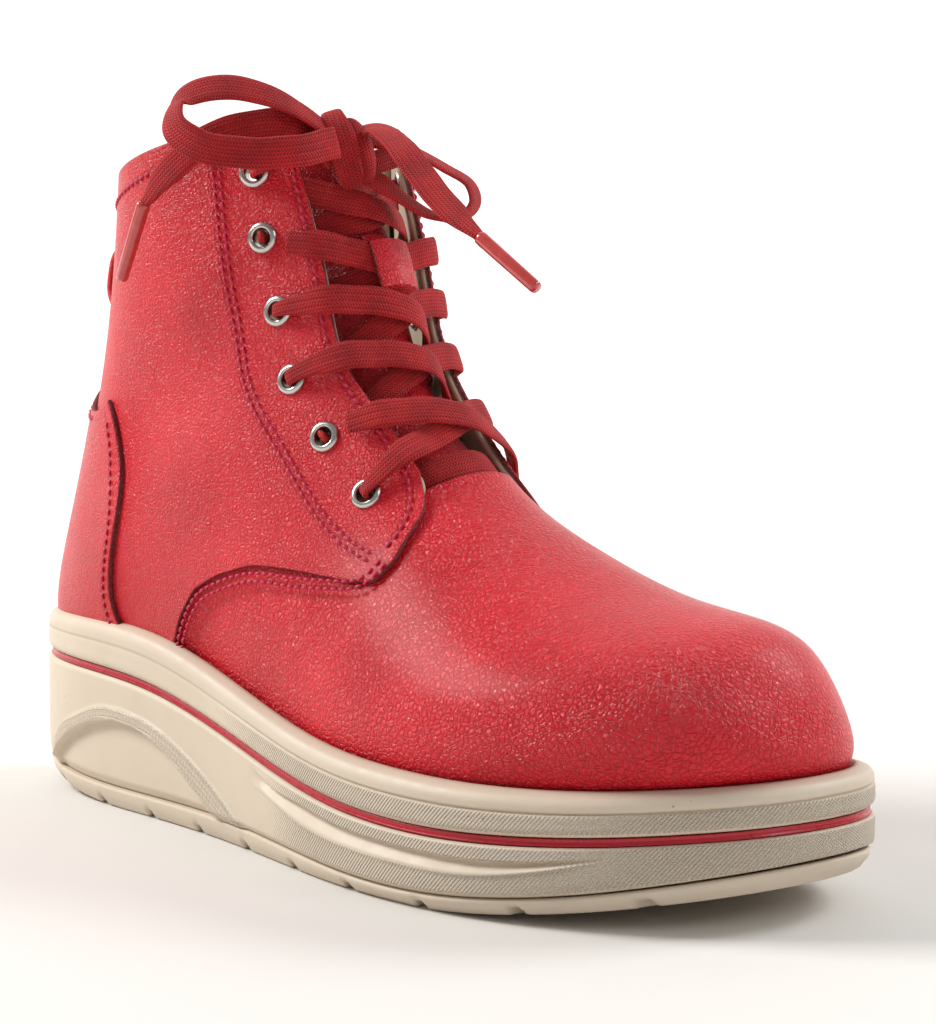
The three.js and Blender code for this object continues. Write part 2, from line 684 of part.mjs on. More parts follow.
// Heights over the last, from the eyelet over the facing's edge to the middle.
const OUT_OVER = [4.0, 3.8, 2.8, 0.4, -0.8, -1.3, -1.4];
const OUT_UNDER = [4.0, 3.8, 1.8, -1.4, -4.0, -4.4, -4.4];
const IN_OVER = [-3.9, -3.7, -3.5, -3.2, -2.2, -1.5, -1.4];
const IN_UNDER = [-3.9, -3.8, -4.0, -4.2, -4.3, -4.4, -4.4];
const KEPT_OVER = [4.0, 3.8, 2.2, -1.0, -3.0, -3.5, -3.6];
const KEPT_OVER_IN = [-3.9, -3.7, -3.6, -3.5, -3.5, -3.5, -3.6];
const KEPT_UNDER = [4.0, 3.8, 1.6, -2.6, -5.3, -5.6, -5.6];
const KEPT_UNDER_IN = [-3.9, -3.9, -4.5, -5.2, -5.5, -5.6, -5.6];
const HIGH = [4.0, 4.0, 3.4, 2.8, 2.5, 2.4, 2.4];
const LOW = [4.0, 4.0, 2.8, 0.8, 0.3, 0.1, 0.1];
const BAR = [-3.6, -3.2, -2.8, -2.4, -2.1, -1.9, -1.8];
const INNER = [-3.6, -3.4, -3.3, -2.9, -2.6, -2.3, -2.2];
const INNER_LOW = [-3.6, -3.8, -4.2, -4.6, -4.8, -4.9, -4.9];
// Degrees from the ridge of those heights, for a facing edge at e degrees.
const across = (e) => [e + 9, e + 1, e - 3.5, e - 9, (e - 9) * 0.66, (e - 9) * 0.33, 0];

// One crossing from eyelet (side, rowA) to eyelet (-side, rowB), through uMid.
function crossing(side, rowA, rowB, uMid, start, finish) {
  const uA = EYE_U[rowA];
  const uB = EYE_U[rowB];
  const knots = [];
  const put = (s, off, width) => {
    const t = (s + 1) / 2;
    const bow = 1 - s * s;
    const u = lerp(uA, uB, t) + (uMid - (uA + uB) / 2) * bow;
    const reach = s < 0 ? EYE_DEG[rowA] : EYE_DEG[rowB];
    const deg = side * reach * -s;
    knots.push({ p: skin(u, deg, off), n: outward(u, deg), w: width });
  };
  const width = (i) => (i === 0 ? 5.0 : LACE_W);
  const first = across(quarterEdge(uA));
  const second = across(quarterEdge(uB));
  first.forEach((d, i) => put(-d / EYE_DEG[rowA], start[i], width(i)));
  for (let i = second.length - 2; i >= 0; i -= 1) {
    put(second[i] / EYE_DEG[rowB], finish[i], width(i));
  }
  return knots;
}
// The lace standing in an eyelet, from face a to face b.
function inHole(side, row, first, last) {
  const { out } = eyeAt(side, row, 0);
  const u = EYE_U[row];
  const up = onLast(u + 0.01, side * EYE_DEG[row]).sub(onLast(u, side * EYE_DEG[row])).normalize();
  const n = up.clone().cross(out).multiplyScalar(side);
  return [first, (first + last) / 2, last].map((off) => ({
    p: skin(u, side * EYE_DEG[row], off), n: n.clone(), w: HOLE_W,
  }));
}
const K = V(-9, -4, 177); // the knot
const OUTER = -1;
const INNERSIDE = 1;
const lace = {};
function knotKnot(side) {
  // From the top eyelet over the facing to the knot.
  const at = (deg, off, w) => ({
    p: skin(0.935, side * deg, off), n: outward(0.935, side * deg), w,
  });
  const end = K.clone().add(V(-1.5, side * 6.4, -2.5));
  return [
    { p: end, n: V(1, side * 0.4, 0).normalize(), w: 6.2 },
    at(22, 4.9, 6.6), at(31, 4.1, 6.2), at(40, 4.0, 5.0),
  ];
}
const X12 = 0.838;
const X23 = 0.75;
const X34 = 0.672;
const X45 = 0.6;
const X56 = 0.527;
const XBAR = 0.491;
const THROUGH_IN = [3.0, -2.8]; // hole passed from outside to inside
const THROUGH_OUT = [-2.8, 3.0];
function laceKnots() {
  const o = OUTER;
  const i = INNERSIDE;
  lace.topOuter = [
    ...knotKnot(o), ...inHole(o, 0, ...THROUGH_IN), ...crossing(o, 0, 1, X12, INNER, INNER),
    ...inHole(i, 1, ...THROUGH_OUT),
  ];
  lace.topInner = [
    ...knotKnot(i), ...inHole(i, 0, ...THROUGH_IN),
    ...crossing(i, 0, 1, X12, INNER_LOW, INNER_LOW), ...inHole(o, 1, ...THROUGH_OUT),
  ];
  lace.keeperOuter = crossing(o, 1, 2, X23, KEPT_OVER, KEPT_OVER_IN);
  lace.keeperInner = crossing(i, 1, 2, X23, KEPT_UNDER, KEPT_UNDER_IN);
  lace.lowOuter = [
    ...inHole(o, 2, ...THROUGH_OUT), ...crossing(o, 2, 3, X34, OUT_OVER, IN_OVER),
    ...inHole(i, 3, ...THROUGH_OUT), ...crossing(i, 3, 4, X45, OUT_UNDER, IN_UNDER),
    ...inHole(o, 4, ...THROUGH_OUT),
  ];
  lace.lowInner = [
    ...inHole(i, 2, ...THROUGH_OUT), ...crossing(i, 2, 3, X34, OUT_UNDER, IN_UNDER),
    ...inHole(o, 3, ...THROUGH_OUT), ...crossing(o, 3, 4, X45, OUT_OVER, IN_OVER),
    ...inHole(i, 4, ...THROUGH_OUT),
  ];
  lace.toeOuter = [
    ...crossing(o, 4, 5, X56, HIGH, HIGH), ...inHole(i, 5, ...THROUGH_IN),
  ];
  lace.toeInner = [
    ...crossing(i, 4, 5, X56, LOW, LOW), ...inHole(o, 5, ...THROUGH_IN),
  ];
  lace.bar = crossing(o, 5, 5, XBAR, BAR, BAR);
}
laceKnots();

// A crossing lace, cut clear of the eyelets it passes.
const LACE_CLEAR = 0.15;
const seats = [OUTER, INNERSIDE].flatMap((side) => EYE_U.map((_, row) => eyelet(side, row, 0.15)));
const wider = (knots) => ribbon(
  knots.map((k) => ({ ...k, w: k.w + 2 * LACE_CLEAR })), 2, LACE_T + 2 * LACE_CLEAR,
);
function laced(knots, ...over) {
  const clear = [...seats, tongueKeeper(LACE_CLEAR), tongueKeeper(4 * LACE_CLEAR),
    ...over.map(wider)];
  return clear.reduce((strip, solidPiece) => strip.subtract(solidPiece), ribbon(knots));
}

// Bow: centre lines in mm, with the way the flat face looks at each point.
const BOW_W = 8;
const LOOP_OUTER = [
  [[-12, -10.5, 181.5], [0.4, -0.3, 0.8]], [[-15, -19, 187], [0.4, -0.4, 0.8]],
  [[-19.5, -29, 191], [0.5, -0.6, 0.6]], [[-25, -39, 191.5], [0.3, -0.9, 0.4]],
  [[-29.5, -46, 187.5], [-0.2, -1, 0.1]], [[-27, -49, 181.5], [0.3, -1, -0.1]],
  [[-20.5, -46.5, 176.5], [0.6, -0.8, 0]], [[-12.5, -38.5, 174.5], [0.7, -0.7, 0]],
  [[-4.2, -27.5, 175.2], [0.8, -0.5, 0]], [[-3.2, -16, 178], [0.9, -0.3, 0]],
];
const LOOP_INNER = [
  [[-8, 3, 180], [0.8, 0.2, 0.5]], [[-2.5, 9, 177.5], [0.7, 0.3, 0.6]],
  [[4, 14.5, 173], [0.7, 0.3, 0.6]], [[9.5, 18.5, 168.5], [0.8, 0.4, 0.3]],
  [[10.5, 19, 163.5], [0.8, 0.4, -0.4]], [[7.5, 15.5, 159.5], [0.3, 0.2, -0.9]],
  [[3, 9.5, 161], [-0.4, 0, -0.9]], [[-2.5, 4.5, 165.5], [-0.6, -0.1, -0.7]],
  [[-6, 1, 169], [-0.7, 0.1, -0.6]],
];
const END_OUTER = [
  [[-16.5, -9.5, 179.5], [0.6, -0.6, 0.3]], [[-16, -19.8, 183.2], [0.7, -0.6, 0.2]],
  [[-22, -29, 182.6], [0.7, -0.7, 0.2]], [[-28, -38.5, 178.6], [0.5, -0.8, 0.1]],
  [[-36.5, -43.5, 171.5], [0.3, -0.9, 0]], [[-46, -44.6, 163.5], [0.2, -1, 0]],
];
const END_INNER = [
  [[-4, -1, 182], [0.6, -0.2, 0.7]], [[2.5, -3, 180], [0.7, -0.3, 0.6]],
  [[10, -4.8, 175.4], [0.7, -0.4, 0.6]], [[18, -5, 167.6], [0.7, -0.4, 0.5]],
  [[27.5, -5, 159.5], [0.7, -0.4, 0.6]], [[36.5, -4.2, 153], [0.6, -0.3, 0.7]],
];
const AGLET_OUTER = [[-46.5, -44.7, 162.6], [-57, -44.2, 144.4]];
const AGLET_INNER = [[37.3, -4.1, 152.4], [54, -2.2, 140.2]];
function bow(list, tipWidth, grow = 0) {
  const knots = list.map(([p, n], i) => ({
    p: V(...p),
    n: V(...n).normalize(),
    w: grow + (i === list.length - 1 && tipWidth ? tipWidth : BOW_W * (i === 0 ? 0.8 : 1)),
  }));
  return ribbon(knots, 3, LACE_T + grow);
}
function aglet([from, to]) {
  const a = V(...from);
  const b = V(...to);
  const axis = b.clone().sub(a);
  const turn = new THREE.Quaternion().setFromUnitVectors(V(0, 0, 1), axis.clone().normalize());
  const m = new THREE.Matrix4().compose(a, turn, V(1, 1, 1));
  return Manifold.cylinder(axis.length(), AGLET_R, AGLET_R, 10).transform(m.elements);
}
function knotBlob() {
  const ball = Manifold.sphere(1, 16).scale([5.0, 4.6, 9.5]);
  return ball.rotate([8, -18, 0]).translate([K.x, K.y, K.z]);
}

// ---------------------------------------------------------------- the boot
const boot = new THREE.Group();
const ORIGIN = V(0.34, -1.69, 0); // middle of the boot's box, on the floor
function look(colour, roughness, metalness) {
  return { color: colour, roughness, metalness };
}
const LEATHER = look(0xc21f2e, 0.42, 0);
const LINING = look(0xb9a68c, 0.9, 0);
const FOAM = look(0xd9cfb8, 0.95, 0);
const RUBBER = look(0xd8ccb6, 0.6, 0);
const WOVEN = look(0xa5261f, 0.85, 0);
const METAL = look(0xb5b5b0, 0.28, 1);

function add(name, piece, finish) {
  const parts = piece.decompose().sort((a, b) => b.volume() - a.volume());
  const got = parts[0].getMesh();
  const geometry = new THREE.BufferGeometry();
  const position = new Float32Array(got.numVert * 3);
  for (let i = 0; i < got.numVert; i += 1) {
    position.set(got.vertProperties.subarray(i * got.numProp, i * got.numProp + 3), i * 3);
  }
  geometry.setAttribute('position', new THREE.BufferAttribute(position, 3));
  geometry.setIndex(new THREE.BufferAttribute(new Uint32Array(got.triVerts), 1));
  geometry.translate(-ORIGIN.x, -ORIGIN.y, -ORIGIN.z);
  geometry.computeVertexNormals();
  const mesh = new THREE.Mesh(geometry, new THREE.MeshStandardMaterial(finish));
  mesh.name = name;
  boot.add(mesh);
}

add('outsole', outsole(), RUBBER);
add('midsole_lower', midsoleLower(), RUBBER);
add('sole_stripe', soleStripe(), look(0x8c1a22, 0.35, 0));
add('midsole_upper', midsoleUpper(), RUBBER);
add('shank', shank(), METAL);
add('insole_board', insoleBoard(), look(0x9a7b54, 0.9, 0));
add('footbed', footbed(), look(0xc9b79c, 0.9, 0));
add('toe_puff', toePuff(), look(0xe0dccf, 0.8, 0));
add('vamp', vamp(), LEATHER);
add('vamp_lining', vampLining(), LINING);
add('heel_stiffener', heelStiffener(), look(0xe0dccf, 0.8, 0));
[[OUTER, 'outer'], [INNERSIDE, 'inner']].forEach(([side, word]) => {
  add(`quarter_${word}`, quarter(side), LEATHER);
  add(`facing_lining_${word}`, facingLining(side), LINING);
  add(`quarter_padding_${word}`, quarterPadding(side), FOAM);
  add(`quarter_lining_${word}`, quarterLining(side), LINING);
});
add('heel_patch', heelPatch(), LEATHER);
add('pull_strap', pullStrap(), LEATHER);
add('strap_plate', strapPlate(), METAL);
add('tongue_leather', tongueLeather(), LEATHER);
add('tongue_foam', tongueFoam(), FOAM);
add('tongue_lining', tongueLining(), LINING);
add('tongue_keeper', tongueKeeper(), LEATHER);
[[OUTER, 'outer'], [INNERSIDE, 'inner']].forEach(([side, word]) => {
  EYE_U.forEach((_, row) => add(`eyelet_${word}_${row + 1}`, eyelet(side, row), METAL));
});
add('lace_top_outer', laced(lace.topOuter), WOVEN);
add('lace_top_inner', laced(lace.topInner, lace.topOuter), WOVEN);
add('lace_keeper_outer', laced(lace.keeperOuter), WOVEN);
add('lace_keeper_inner', laced(lace.keeperInner, lace.keeperOuter), WOVEN);
add('lace_low_outer', laced(lace.lowOuter), WOVEN);
add('lace_low_inner', laced(lace.lowInner, lace.keeperOuter, lace.lowOuter), WOVEN);
add('lace_toe_outer', laced(lace.toeOuter), WOVEN);
add('lace_toe_inner', laced(lace.toeInner), WOVEN);
add('lace_bar', laced(lace.bar), WOVEN);
add('bow_knot', knotBlob(), WOVEN);
const topWide = wider(lace.topOuter);
const endWide = bow(END_OUTER, 3, 2 * LACE_CLEAR);
add('bow_loop_outer', bow(LOOP_OUTER).subtract(topWide).subtract(endWide), WOVEN);
add('bow_loop_inner', bow(LOOP_INNER), WOVEN);
add('lace_end_outer', bow(END_OUTER, 3).subtract(topWide), WOVEN);
add('lace_end_inner', bow(END_INNER, 3), WOVEN);
add('aglet_outer', aglet(AGLET_OUTER), look(0xc87a72, 0.15, 0));
add('aglet_inner', aglet(AGLET_INNER), look(0xc87a72, 0.15, 0));

export default boot;
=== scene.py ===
import bmesh
import bpy
import numpy as np
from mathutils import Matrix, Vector


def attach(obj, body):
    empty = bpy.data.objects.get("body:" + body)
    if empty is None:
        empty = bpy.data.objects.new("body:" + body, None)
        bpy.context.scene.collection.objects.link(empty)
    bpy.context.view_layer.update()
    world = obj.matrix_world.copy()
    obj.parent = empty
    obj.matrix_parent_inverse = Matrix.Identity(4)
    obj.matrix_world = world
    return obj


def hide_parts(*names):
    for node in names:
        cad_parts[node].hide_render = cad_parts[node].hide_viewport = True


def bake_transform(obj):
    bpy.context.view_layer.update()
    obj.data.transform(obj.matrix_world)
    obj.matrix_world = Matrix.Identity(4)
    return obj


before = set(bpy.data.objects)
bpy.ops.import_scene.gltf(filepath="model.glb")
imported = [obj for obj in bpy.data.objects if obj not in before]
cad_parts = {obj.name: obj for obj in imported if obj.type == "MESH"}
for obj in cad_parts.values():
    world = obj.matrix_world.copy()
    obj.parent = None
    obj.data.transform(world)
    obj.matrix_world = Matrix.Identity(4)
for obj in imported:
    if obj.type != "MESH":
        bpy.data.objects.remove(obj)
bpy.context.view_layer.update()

# ------------------------------------------------------------------ studio
# A pale sweep of paper under and behind the boot, one broad soft light from the
# upper left, a weaker one from the right and a rim light from behind.
CAMERA_AT = (0.42883, -0.38313, 0.12132)
CAMERA_LOOKS_AT = (-0.01334, 0.04089, 0.0817)
CAMERA_LENS = 78.46


def aim(thing, target):
    """Turns an object so that its -Z axis points at the target."""
    thing.rotation_euler = (Vector(target) - thing.location).to_track_quat("-Z", "Y").to_euler()


camera_data = bpy.data.cameras.new("camera")
camera_data.lens = CAMERA_LENS
camera_data.sensor_width = 36.0
camera = bpy.data.objects.new("camera", camera_data)
camera.location = CAMERA_AT
bpy.context.collection.objects.link(camera)
aim(camera, CAMERA_LOOKS_AT)
bpy.context.scene.camera = camera
bpy.context.scene.view_settings.view_transform = "Standard"


def soft_light(name, place, target, size, power, colour=(1, 1, 1)):
    """A square softbox aimed at a point."""
    data = bpy.data.lights.new(name, "AREA")
    data.size = size
    data.energy = power
    data.color = colour
    light = bpy.data.objects.new(name, data)
    light.location = place
    bpy.context.collection.objects.link(light)
    aim(light, target)
    return light


soft_light("key_light", (-0.95, -0.7, 1.05), (0, 0, 0.08), 0.55, 24.0, (1.0, 0.985, 0.96))
soft_light("rim_light", (0.55, 1.0, 0.95), (0.04, 0, 0.1), 0.55, 11.0)
soft_light("toe_light", (1.3, 0.25, 0.85), (0.08, 0, 0.06), 0.5, 3.5)
world = bpy.data.worlds.new("studio_air")
world.use_nodes = True
world.node_tree.nodes["Background"].inputs["Color"].default_value = (1.0, 0.985, 0.965, 1)
world.node_tree.nodes["Background"].inputs["Strength"].default_value = 0.33
bpy.context.scene.world = world

# the paper runs flat under the boot, then curves up behind it
AWAY_X, AWAY_Y = -0.722, 0.692
SWEEP_BEND = 1.5
BEND_FROM = 0.8
bend_turn = np.linspace(0.05, np.pi / 2, 24)
sweep_run = np.concatenate([[-3.0, -1.0, 0.0, BEND_FROM], BEND_FROM + SWEEP_BEND * np.sin(bend_turn), [2.3]])
sweep_rise = np.concatenate([[0, 0, 0, 0], SWEEP_BEND * (1 - np.cos(bend_turn)), [4.0]])
sweep_side = np.linspace(-4, 4, 9)
sweep_points = [(AWAY_X * r - AWAY_Y * w, AWAY_Y * r + AWAY_X * w, z)
                for r, z in zip(sweep_run, sweep_rise) for w in sweep_side]
sweep_cells = [i * 9 + j for i in range(len(sweep_run) - 1) for j in range(8)]
floor_mesh = bpy.data.meshes.new("studio_floor")
floor_mesh.from_pydata(sweep_points, [], [(c, c + 1, c + 10, c + 9) for c in sweep_cells])
floor_mesh.shade_smooth()
studio_floor = bpy.data.objects.new("studio_floor", floor_mesh)
bpy.context.collection.objects.link(studio_floor)
paper = bpy.data.materials.new("paper")
paper.use_nodes = True
paper_tree = paper.node_tree
paper_shader = paper_tree.nodes["Principled BSDF"]
paper_shader.inputs["Base Color"].default_value = (0.74, 0.725, 0.7, 1)
paper_shader.inputs["Roughness"].default_value = 0.8
paper_at = paper_tree.nodes.new("ShaderNodeTexCoord")
paper_far = paper_tree.nodes.new("ShaderNodeVectorMath")
paper_far.operation = "LENGTH"
paper_tree.links.new(paper_at.outputs["Object"], paper_far.inputs[0])
paper_glow = paper_tree.nodes.new("ShaderNodeMapRange")
paper_glow.interpolation_type = "SMOOTHSTEP"
for socket, value in (("From Min", 0.22), ("From Max", 1.5), ("To Min", 0.0), ("To Max", 0.6)):
    paper_glow.inputs[socket].default_value = value
paper_tree.links.new(paper_far.outputs["Value"], paper_glow.inputs["Value"])
paper_shader.inputs["Emission Color"].default_value = (1.0, 0.99, 0.975, 1)
paper_tree.links.new(paper_glow.outputs["Result"], paper_shader.inputs["Emission Strength"])
floor_mesh.materials.append(paper)

# ------------------------------------------------------------------ foam sole
# A moulded foam-rubber wedge in four layers: outsole, side wall, inlaid red band
# and the rand that the leather sits in. Everything is shaped from the last, the
# foot form the boot is pulled over: one oval for each station from toe to collar.
ORIGIN = np.array([0.34, -1.69, 0.0])
LAST = np.array([
    # back x, back z, front x, front z, outer half width, inner half width, shift (mm)
    [77.5, 22.5, 133.0, 32.5, 32.0, 27.5, 7.5],
    [54.5, 13.5, 135.5, 41.0, 41.0, 34.5, 4.5],
    [39.5, 7.0, 128.5, 55.5, 47.0, 40.0, 2.5],
    [24.5, 6.0, 115.5, 64.5, 49.5, 43.0, 1.6],
    [6.0, 9.0, 91.0, 69.0, 49.0, 42.5, 1.0],
    [-21.0, 10.8, 64.5, 78.5, 43.5, 38.2, 0.3],
    [-53.0, 16.5, 39.5, 92.3, 37.2, 33.2, 0.0],
    [-88.5, 26.0, 22.0, 111.0, 34.5, 31.8, 0.0],
    [-119.0, 33.0, 11.5, 127.0, 35.0, 33.5, 0.0],
    [-133.0, 42.0, 6.0, 140.0, 33.5, 34.5, 0.0],
    [-128.5, 64.0, 2.0, 152.0, 31.5, 35.0, 0.0],
    [-113.0, 101.0, -4.5, 164.5, 32.0, 36.0, 0.0],
    [-101.0, 137.5, -10.5, 176.0, 33.5, 36.5, 0.0],
    [-93.0, 171.0, -15.5, 186.0, 35.5, 37.0, 0.0],
])
SOLE_X = [-140, -100, -60, -20, 20, 60, 100, 140]
FEATHER_Z = [51.2, 51.7, 49.6, 41.2, 33.2, 29.8, 29.6, 32.6]
STRIPE_Z = [40.9, 39.8, 37.2, 30.0, 22.9, 19.4, 20.3, 23.7]
SPLIT_Z = [9.9, 6.8, 6.1, 6.2, 5.1, 4.0, 7.4, 15.3]
SOLE_OUT = 6.0
STRIPE_H = 2.0
KNURL_PITCH = 1.15
SOLE_STEPS = 1100


def unit(v):
    """Vectors of length one."""
    return v / np.maximum(np.linalg.norm(v, axis=-1, keepdims=True), 1e-12)


def length_along(line):
    """Length along a line of points, 0 at its start."""
    return np.concatenate([[0], np.cumsum(np.linalg.norm(np.diff(line, axis=0), axis=1))])


def resample(at, run, line):
    """Values of a line's three columns, read between its points at other lengths."""
    return np.stack([np.interp(at, run, line[:, k]) for k in range(3)], -1)


def last_true(holds, low, high, steps=30):
    """Halves each span again and again towards where a test stops being true."""
    for _ in range(steps):
        mid = (low + high) / 2
        true = holds(mid)
        low, high = np.where(true, mid, low), np.where(true, high, mid)
    return low


def ease(a, b, x):
    """0 below a, 1 above b, a smooth step between."""
    t = np.clip((x - a) / (b - a), 0, 1)
    return t * t * (3 - 2 * t)


def spline(xs, ys):
    """Natural cubic spline through the points, straight outside the ends."""
    xs, ys = np.asarray(xs, float), np.asarray(ys, float)
    n = len(xs)
    h = np.diff(xs)
    a = np.eye(n)
    r = np.zeros_like(ys)
    slopes = np.diff(ys, axis=0) / (h if ys.ndim == 1 else h[:, None])
    for i in range(1, n - 1):
        a[i, i - 1 : i + 2] = h[i - 1], 2 * (h[i - 1] + h[i]), h[i]
        r[i] = 6 * (slopes[i] - slopes[i - 1])
    m = np.linalg.solve(a, r)

    def value(x):
        """The cubic of the span that x falls in, carried on straight past the ends."""
        x = np.asarray(x, float)
        inside = np.clip(x, xs[0], xs[-1])
        i = np.clip(np.searchsorted(xs, inside) - 1, 0, n - 2)
        p, q = (xs[i + 1] - inside) / h[i], (inside - xs[i]) / h[i]
        hh = h[i] ** 2 / 6
        lead, tail = slopes[0] - h[0] * m[1] / 6, slopes[-1] + h[-1] * m[-2] / 6
        over = x - inside
        if ys.ndim > 1:
            p, q, hh, over = (v[..., None] for v in (p, q, hh, over))
        bent = p * ys[i] + q * ys[i + 1] + ((p**3 - p) * m[i] + (q**3 - q) * m[i + 1]) * hh
        return bent + np.where(over < 0, lead, tail) * over

    return value


last_curve = spline(np.linspace(0, 1, len(LAST)), LAST)
feather_z = spline(SOLE_X, FEATHER_Z)
stripe_z = spline(SOLE_X, STRIPE_Z)
split_z = spline(SOLE_X, SPLIT_Z)


def floor_z(x):
    """Height of the outsole's underside: flat in the middle, lifted at heel and toe."""
    heel = 6.5 * (np.maximum(0, -75 - x) / 65) ** 2
    return heel + 10.5 * (np.maximum(0, x - 65) / 75) ** 1.5


def on_last(u, deg):
    """A point of the last: u runs toe to collar, deg goes round (0 ridge, 180 back)."""
    u, deg = np.broadcast_arrays(np.asarray(u, float), np.asarray(deg, float))
    a = np.radians(deg)
    row = last_curve(u)
    k = (1 + np.cos(a)) / 2
    wide = np.where(np.sin(a) < 0, row[..., 4], row[..., 5])
    x = row[..., 0] + (row[..., 2] - row[..., 0]) * k
    z = row[..., 1] + (row[..., 3] - row[..., 1]) * k
    return np.stack([x, wide * np.sin(a) + row[..., 6], z], -1)


def outward(u, deg):
    """The last's outward normal."""
    du = on_last(u + 1e-3, deg) - on_last(u - 1e-3, deg)
    dv = on_last(u, deg + 0.5) - on_last(u, deg - 0.5)
    return unit(np.cross(dv, du))


def skin(u, deg, off=0.0):
    """A point standing off the last by off millimetres."""
    u, deg = np.broadcast_arrays(np.asarray(u, float), np.asarray(deg, float))
    off = np.broadcast_to(np.asarray(off, float), u.shape)
    return on_last(u, deg) + outward(u, deg) * off[..., None]


def above_feather(u, deg):
    """Height of a last point above the line where leather meets sole."""
    p = on_last(u, deg)
    return p[..., 2] - feather_z(np.clip(p[..., 0], -140, 140))


def feather_loop(count):
    """The line where leather meets sole, toe to heel on the outer side and back."""
    toe_us, heel_us = np.linspace(-0.05, 0.05, 2001), np.linspace(0.6, 0.9, 3001)
    toe = toe_us[np.argmax(above_feather(toe_us, 0.0) > 0)]
    heel = heel_us[np.argmax(above_feather(heel_us, 180.0) > 0)]
    u = toe + (heel - toe) * (1 - np.cos(np.linspace(0, np.pi, 900))) / 2
    deg = last_true(lambda d: above_feather(u, d) > 0, np.zeros_like(u), np.full_like(u, 180.0), 34)
    loop = np.concatenate([on_last(u, -deg), on_last(u, deg)[-2:0:-1]])
    closed = np.concatenate([loop, loop[:1]])
    run = length_along(closed)
    return resample(np.linspace(0, run[-1], count, endpoint=False), run, closed)


half = SOLE_STEPS // 2
feather = np.roll(feather_loop(SOLE_STEPS), -half, axis=0)
along = unit((np.roll(feather, -1, 0) - np.roll(feather, 1, 0)) * [1, 1, 0])
plan_out = np.stack([-along[:, 1], along[:, 0], 0 * along[:, 0]], -1)
for _ in range(6):
    plan_out = unit(np.roll(plan_out, 1, 0) + plan_out + np.roll(plan_out, -1, 0))


def grid_faces(ni, nj, flip=False, wrap_i=False, wrap_j=False):
    """Quads of a grid of ni by nj points."""
    i = np.arange(ni if wrap_i else ni - 1)[:, None]
    j = np.arange(nj if wrap_j else nj - 1)[None, :]
    i2, j2 = (i + 1) % ni, (j + 1) % nj
    corners = [i * nj + j, i * nj + j2, i2 * nj + j2, i2 * nj + j]
    quads = np.stack([np.broadcast_to(c, np.broadcast(i, j).shape) for c in corners], -1)
    quads = quads.reshape(-1, 4)
    return quads[:, ::-1] if flip else quads


def piece(name, points, faces, body="boot", masks=None, uv=None, material=None, weld=0.0):
    """A mesh object from points in millimetres and arrays of faces, riding on a body."""
    mesh = bpy.data.meshes.new(name)
    flat = points.reshape(-1, 3)
    mesh.vertices.add(len(flat))
    mesh.vertices.foreach_set("co", ((flat - ORIGIN) * 0.001).astype(np.float32).ravel())
    loops = np.concatenate([f.ravel() for f in faces]).astype(np.int32)
    sizes = np.concatenate([np.full(len(f), f.shape[1]) for f in faces])
    mesh.loops.add(len(loops))
    mesh.loops.foreach_set("vertex_index", loops)
    mesh.polygons.add(len(sizes))
    starts = np.concatenate([[0], np.cumsum(sizes)[:-1]]).astype(np.int32)
    mesh.polygons.foreach_set("loop_start", starts)
    for key, value in (masks or {}).items():
        layer = mesh.attributes.new(key, "FLOAT", "POINT")
        layer.data.foreach_set("value", np.asarray(value, np.float32).ravel())
    if uv is not None:
        layer = mesh.uv_layers.new(name="UVMap")
        layer.data.foreach_set("uv", uv.reshape(-1, 2)[loops].astype(np.float32).ravel())
    mesh.update(calc_edges=True)
    if weld:
        work = bmesh.new()
        work.from_mesh(mesh)
        bmesh.ops.remove_doubles(work, verts=work.verts, dist=weld * 0.001)
        bmesh.ops.recalc_face_normals(work, faces=work.faces)
        work.to_mesh(mesh)
        work.free()
    mesh.validate()
    mesh.shade_smooth()
    thing = bpy.data.objects.new(name, mesh)
    bpy.context.collection.objects.link(thing)
    if material is not None:
        mesh.materials.append(material)
    if body:
        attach(thing, body)
    return thing


def feed(tree, socket, value):
    """Joins a socket to another one, or writes a number, a vector or a colour into it."""
    if isinstance(value, bpy.types.NodeSocket):
        tree.links.new(value, socket)
    else:
        socket.default_value = value


def node(tree, kind, **inputs):
    """A shader node: _name sets a property, in0 an input by number, others by name."""
    made = tree.nodes.new(kind)
    for key, value in inputs.items():
        if key.startswith("_"):
            setattr(made, key[1:], value)
        elif key.startswith("in"):
            feed(tree, made.inputs[int(key[2:])], value)
        else:
            feed(tree, made.inputs[key], value)
    return made


def group(name, ins, outs):
    """An empty node group with named inputs (name, type, value) and outputs."""
    tree = bpy.data.node_groups.new(name, "ShaderNodeTree")
    for label, kind, value in ins:
        made = tree.interface.new_socket(label, in_out="INPUT", socket_type=kind)
        if value is not None:
            made.default_value = value
    for label, kind in outs:
        tree.interface.new_socket(label, in_out="OUTPUT", socket_type=kind)
    return tree, tree.nodes.new("NodeGroupInput"), tree.nodes.new("NodeGroupOutput")


def ramp(tree, value, low, high, to_low=0.0, to_high=1.0):
    """Maps a value from one range to another, clamped."""
    made = node(tree, "ShaderNodeMapRange", Value=value)
    made.inputs["From Min"].default_value = low
    made.inputs["From Max"].default_value = high
    made.inputs["To Min"].default_value = to_low
    made.inputs["To Max"].default_value = to_high
    return made.outputs["Result"]


def maths(tree, how, a, b=0.0):
    """One arithmetic node."""
    return node(tree, "ShaderNodeMath", _operation=how, in0=a, in1=b).outputs[0]


def times(tree, a, b):
    """The product of two values."""
    return maths(tree, "MULTIPLY", a, b)


def blend_colours(tree, share, a, b):
    """Mixes two colours by a share: 0 gives the first, 1 the second."""
    first, second = (v if isinstance(v, bpy.types.NodeSocket) else (*v, 1) for v in (a, b))
    return node(tree, "ShaderNodeMix", _data_type="RGBA", in0=share, in6=first, in7=second).outputs[2]


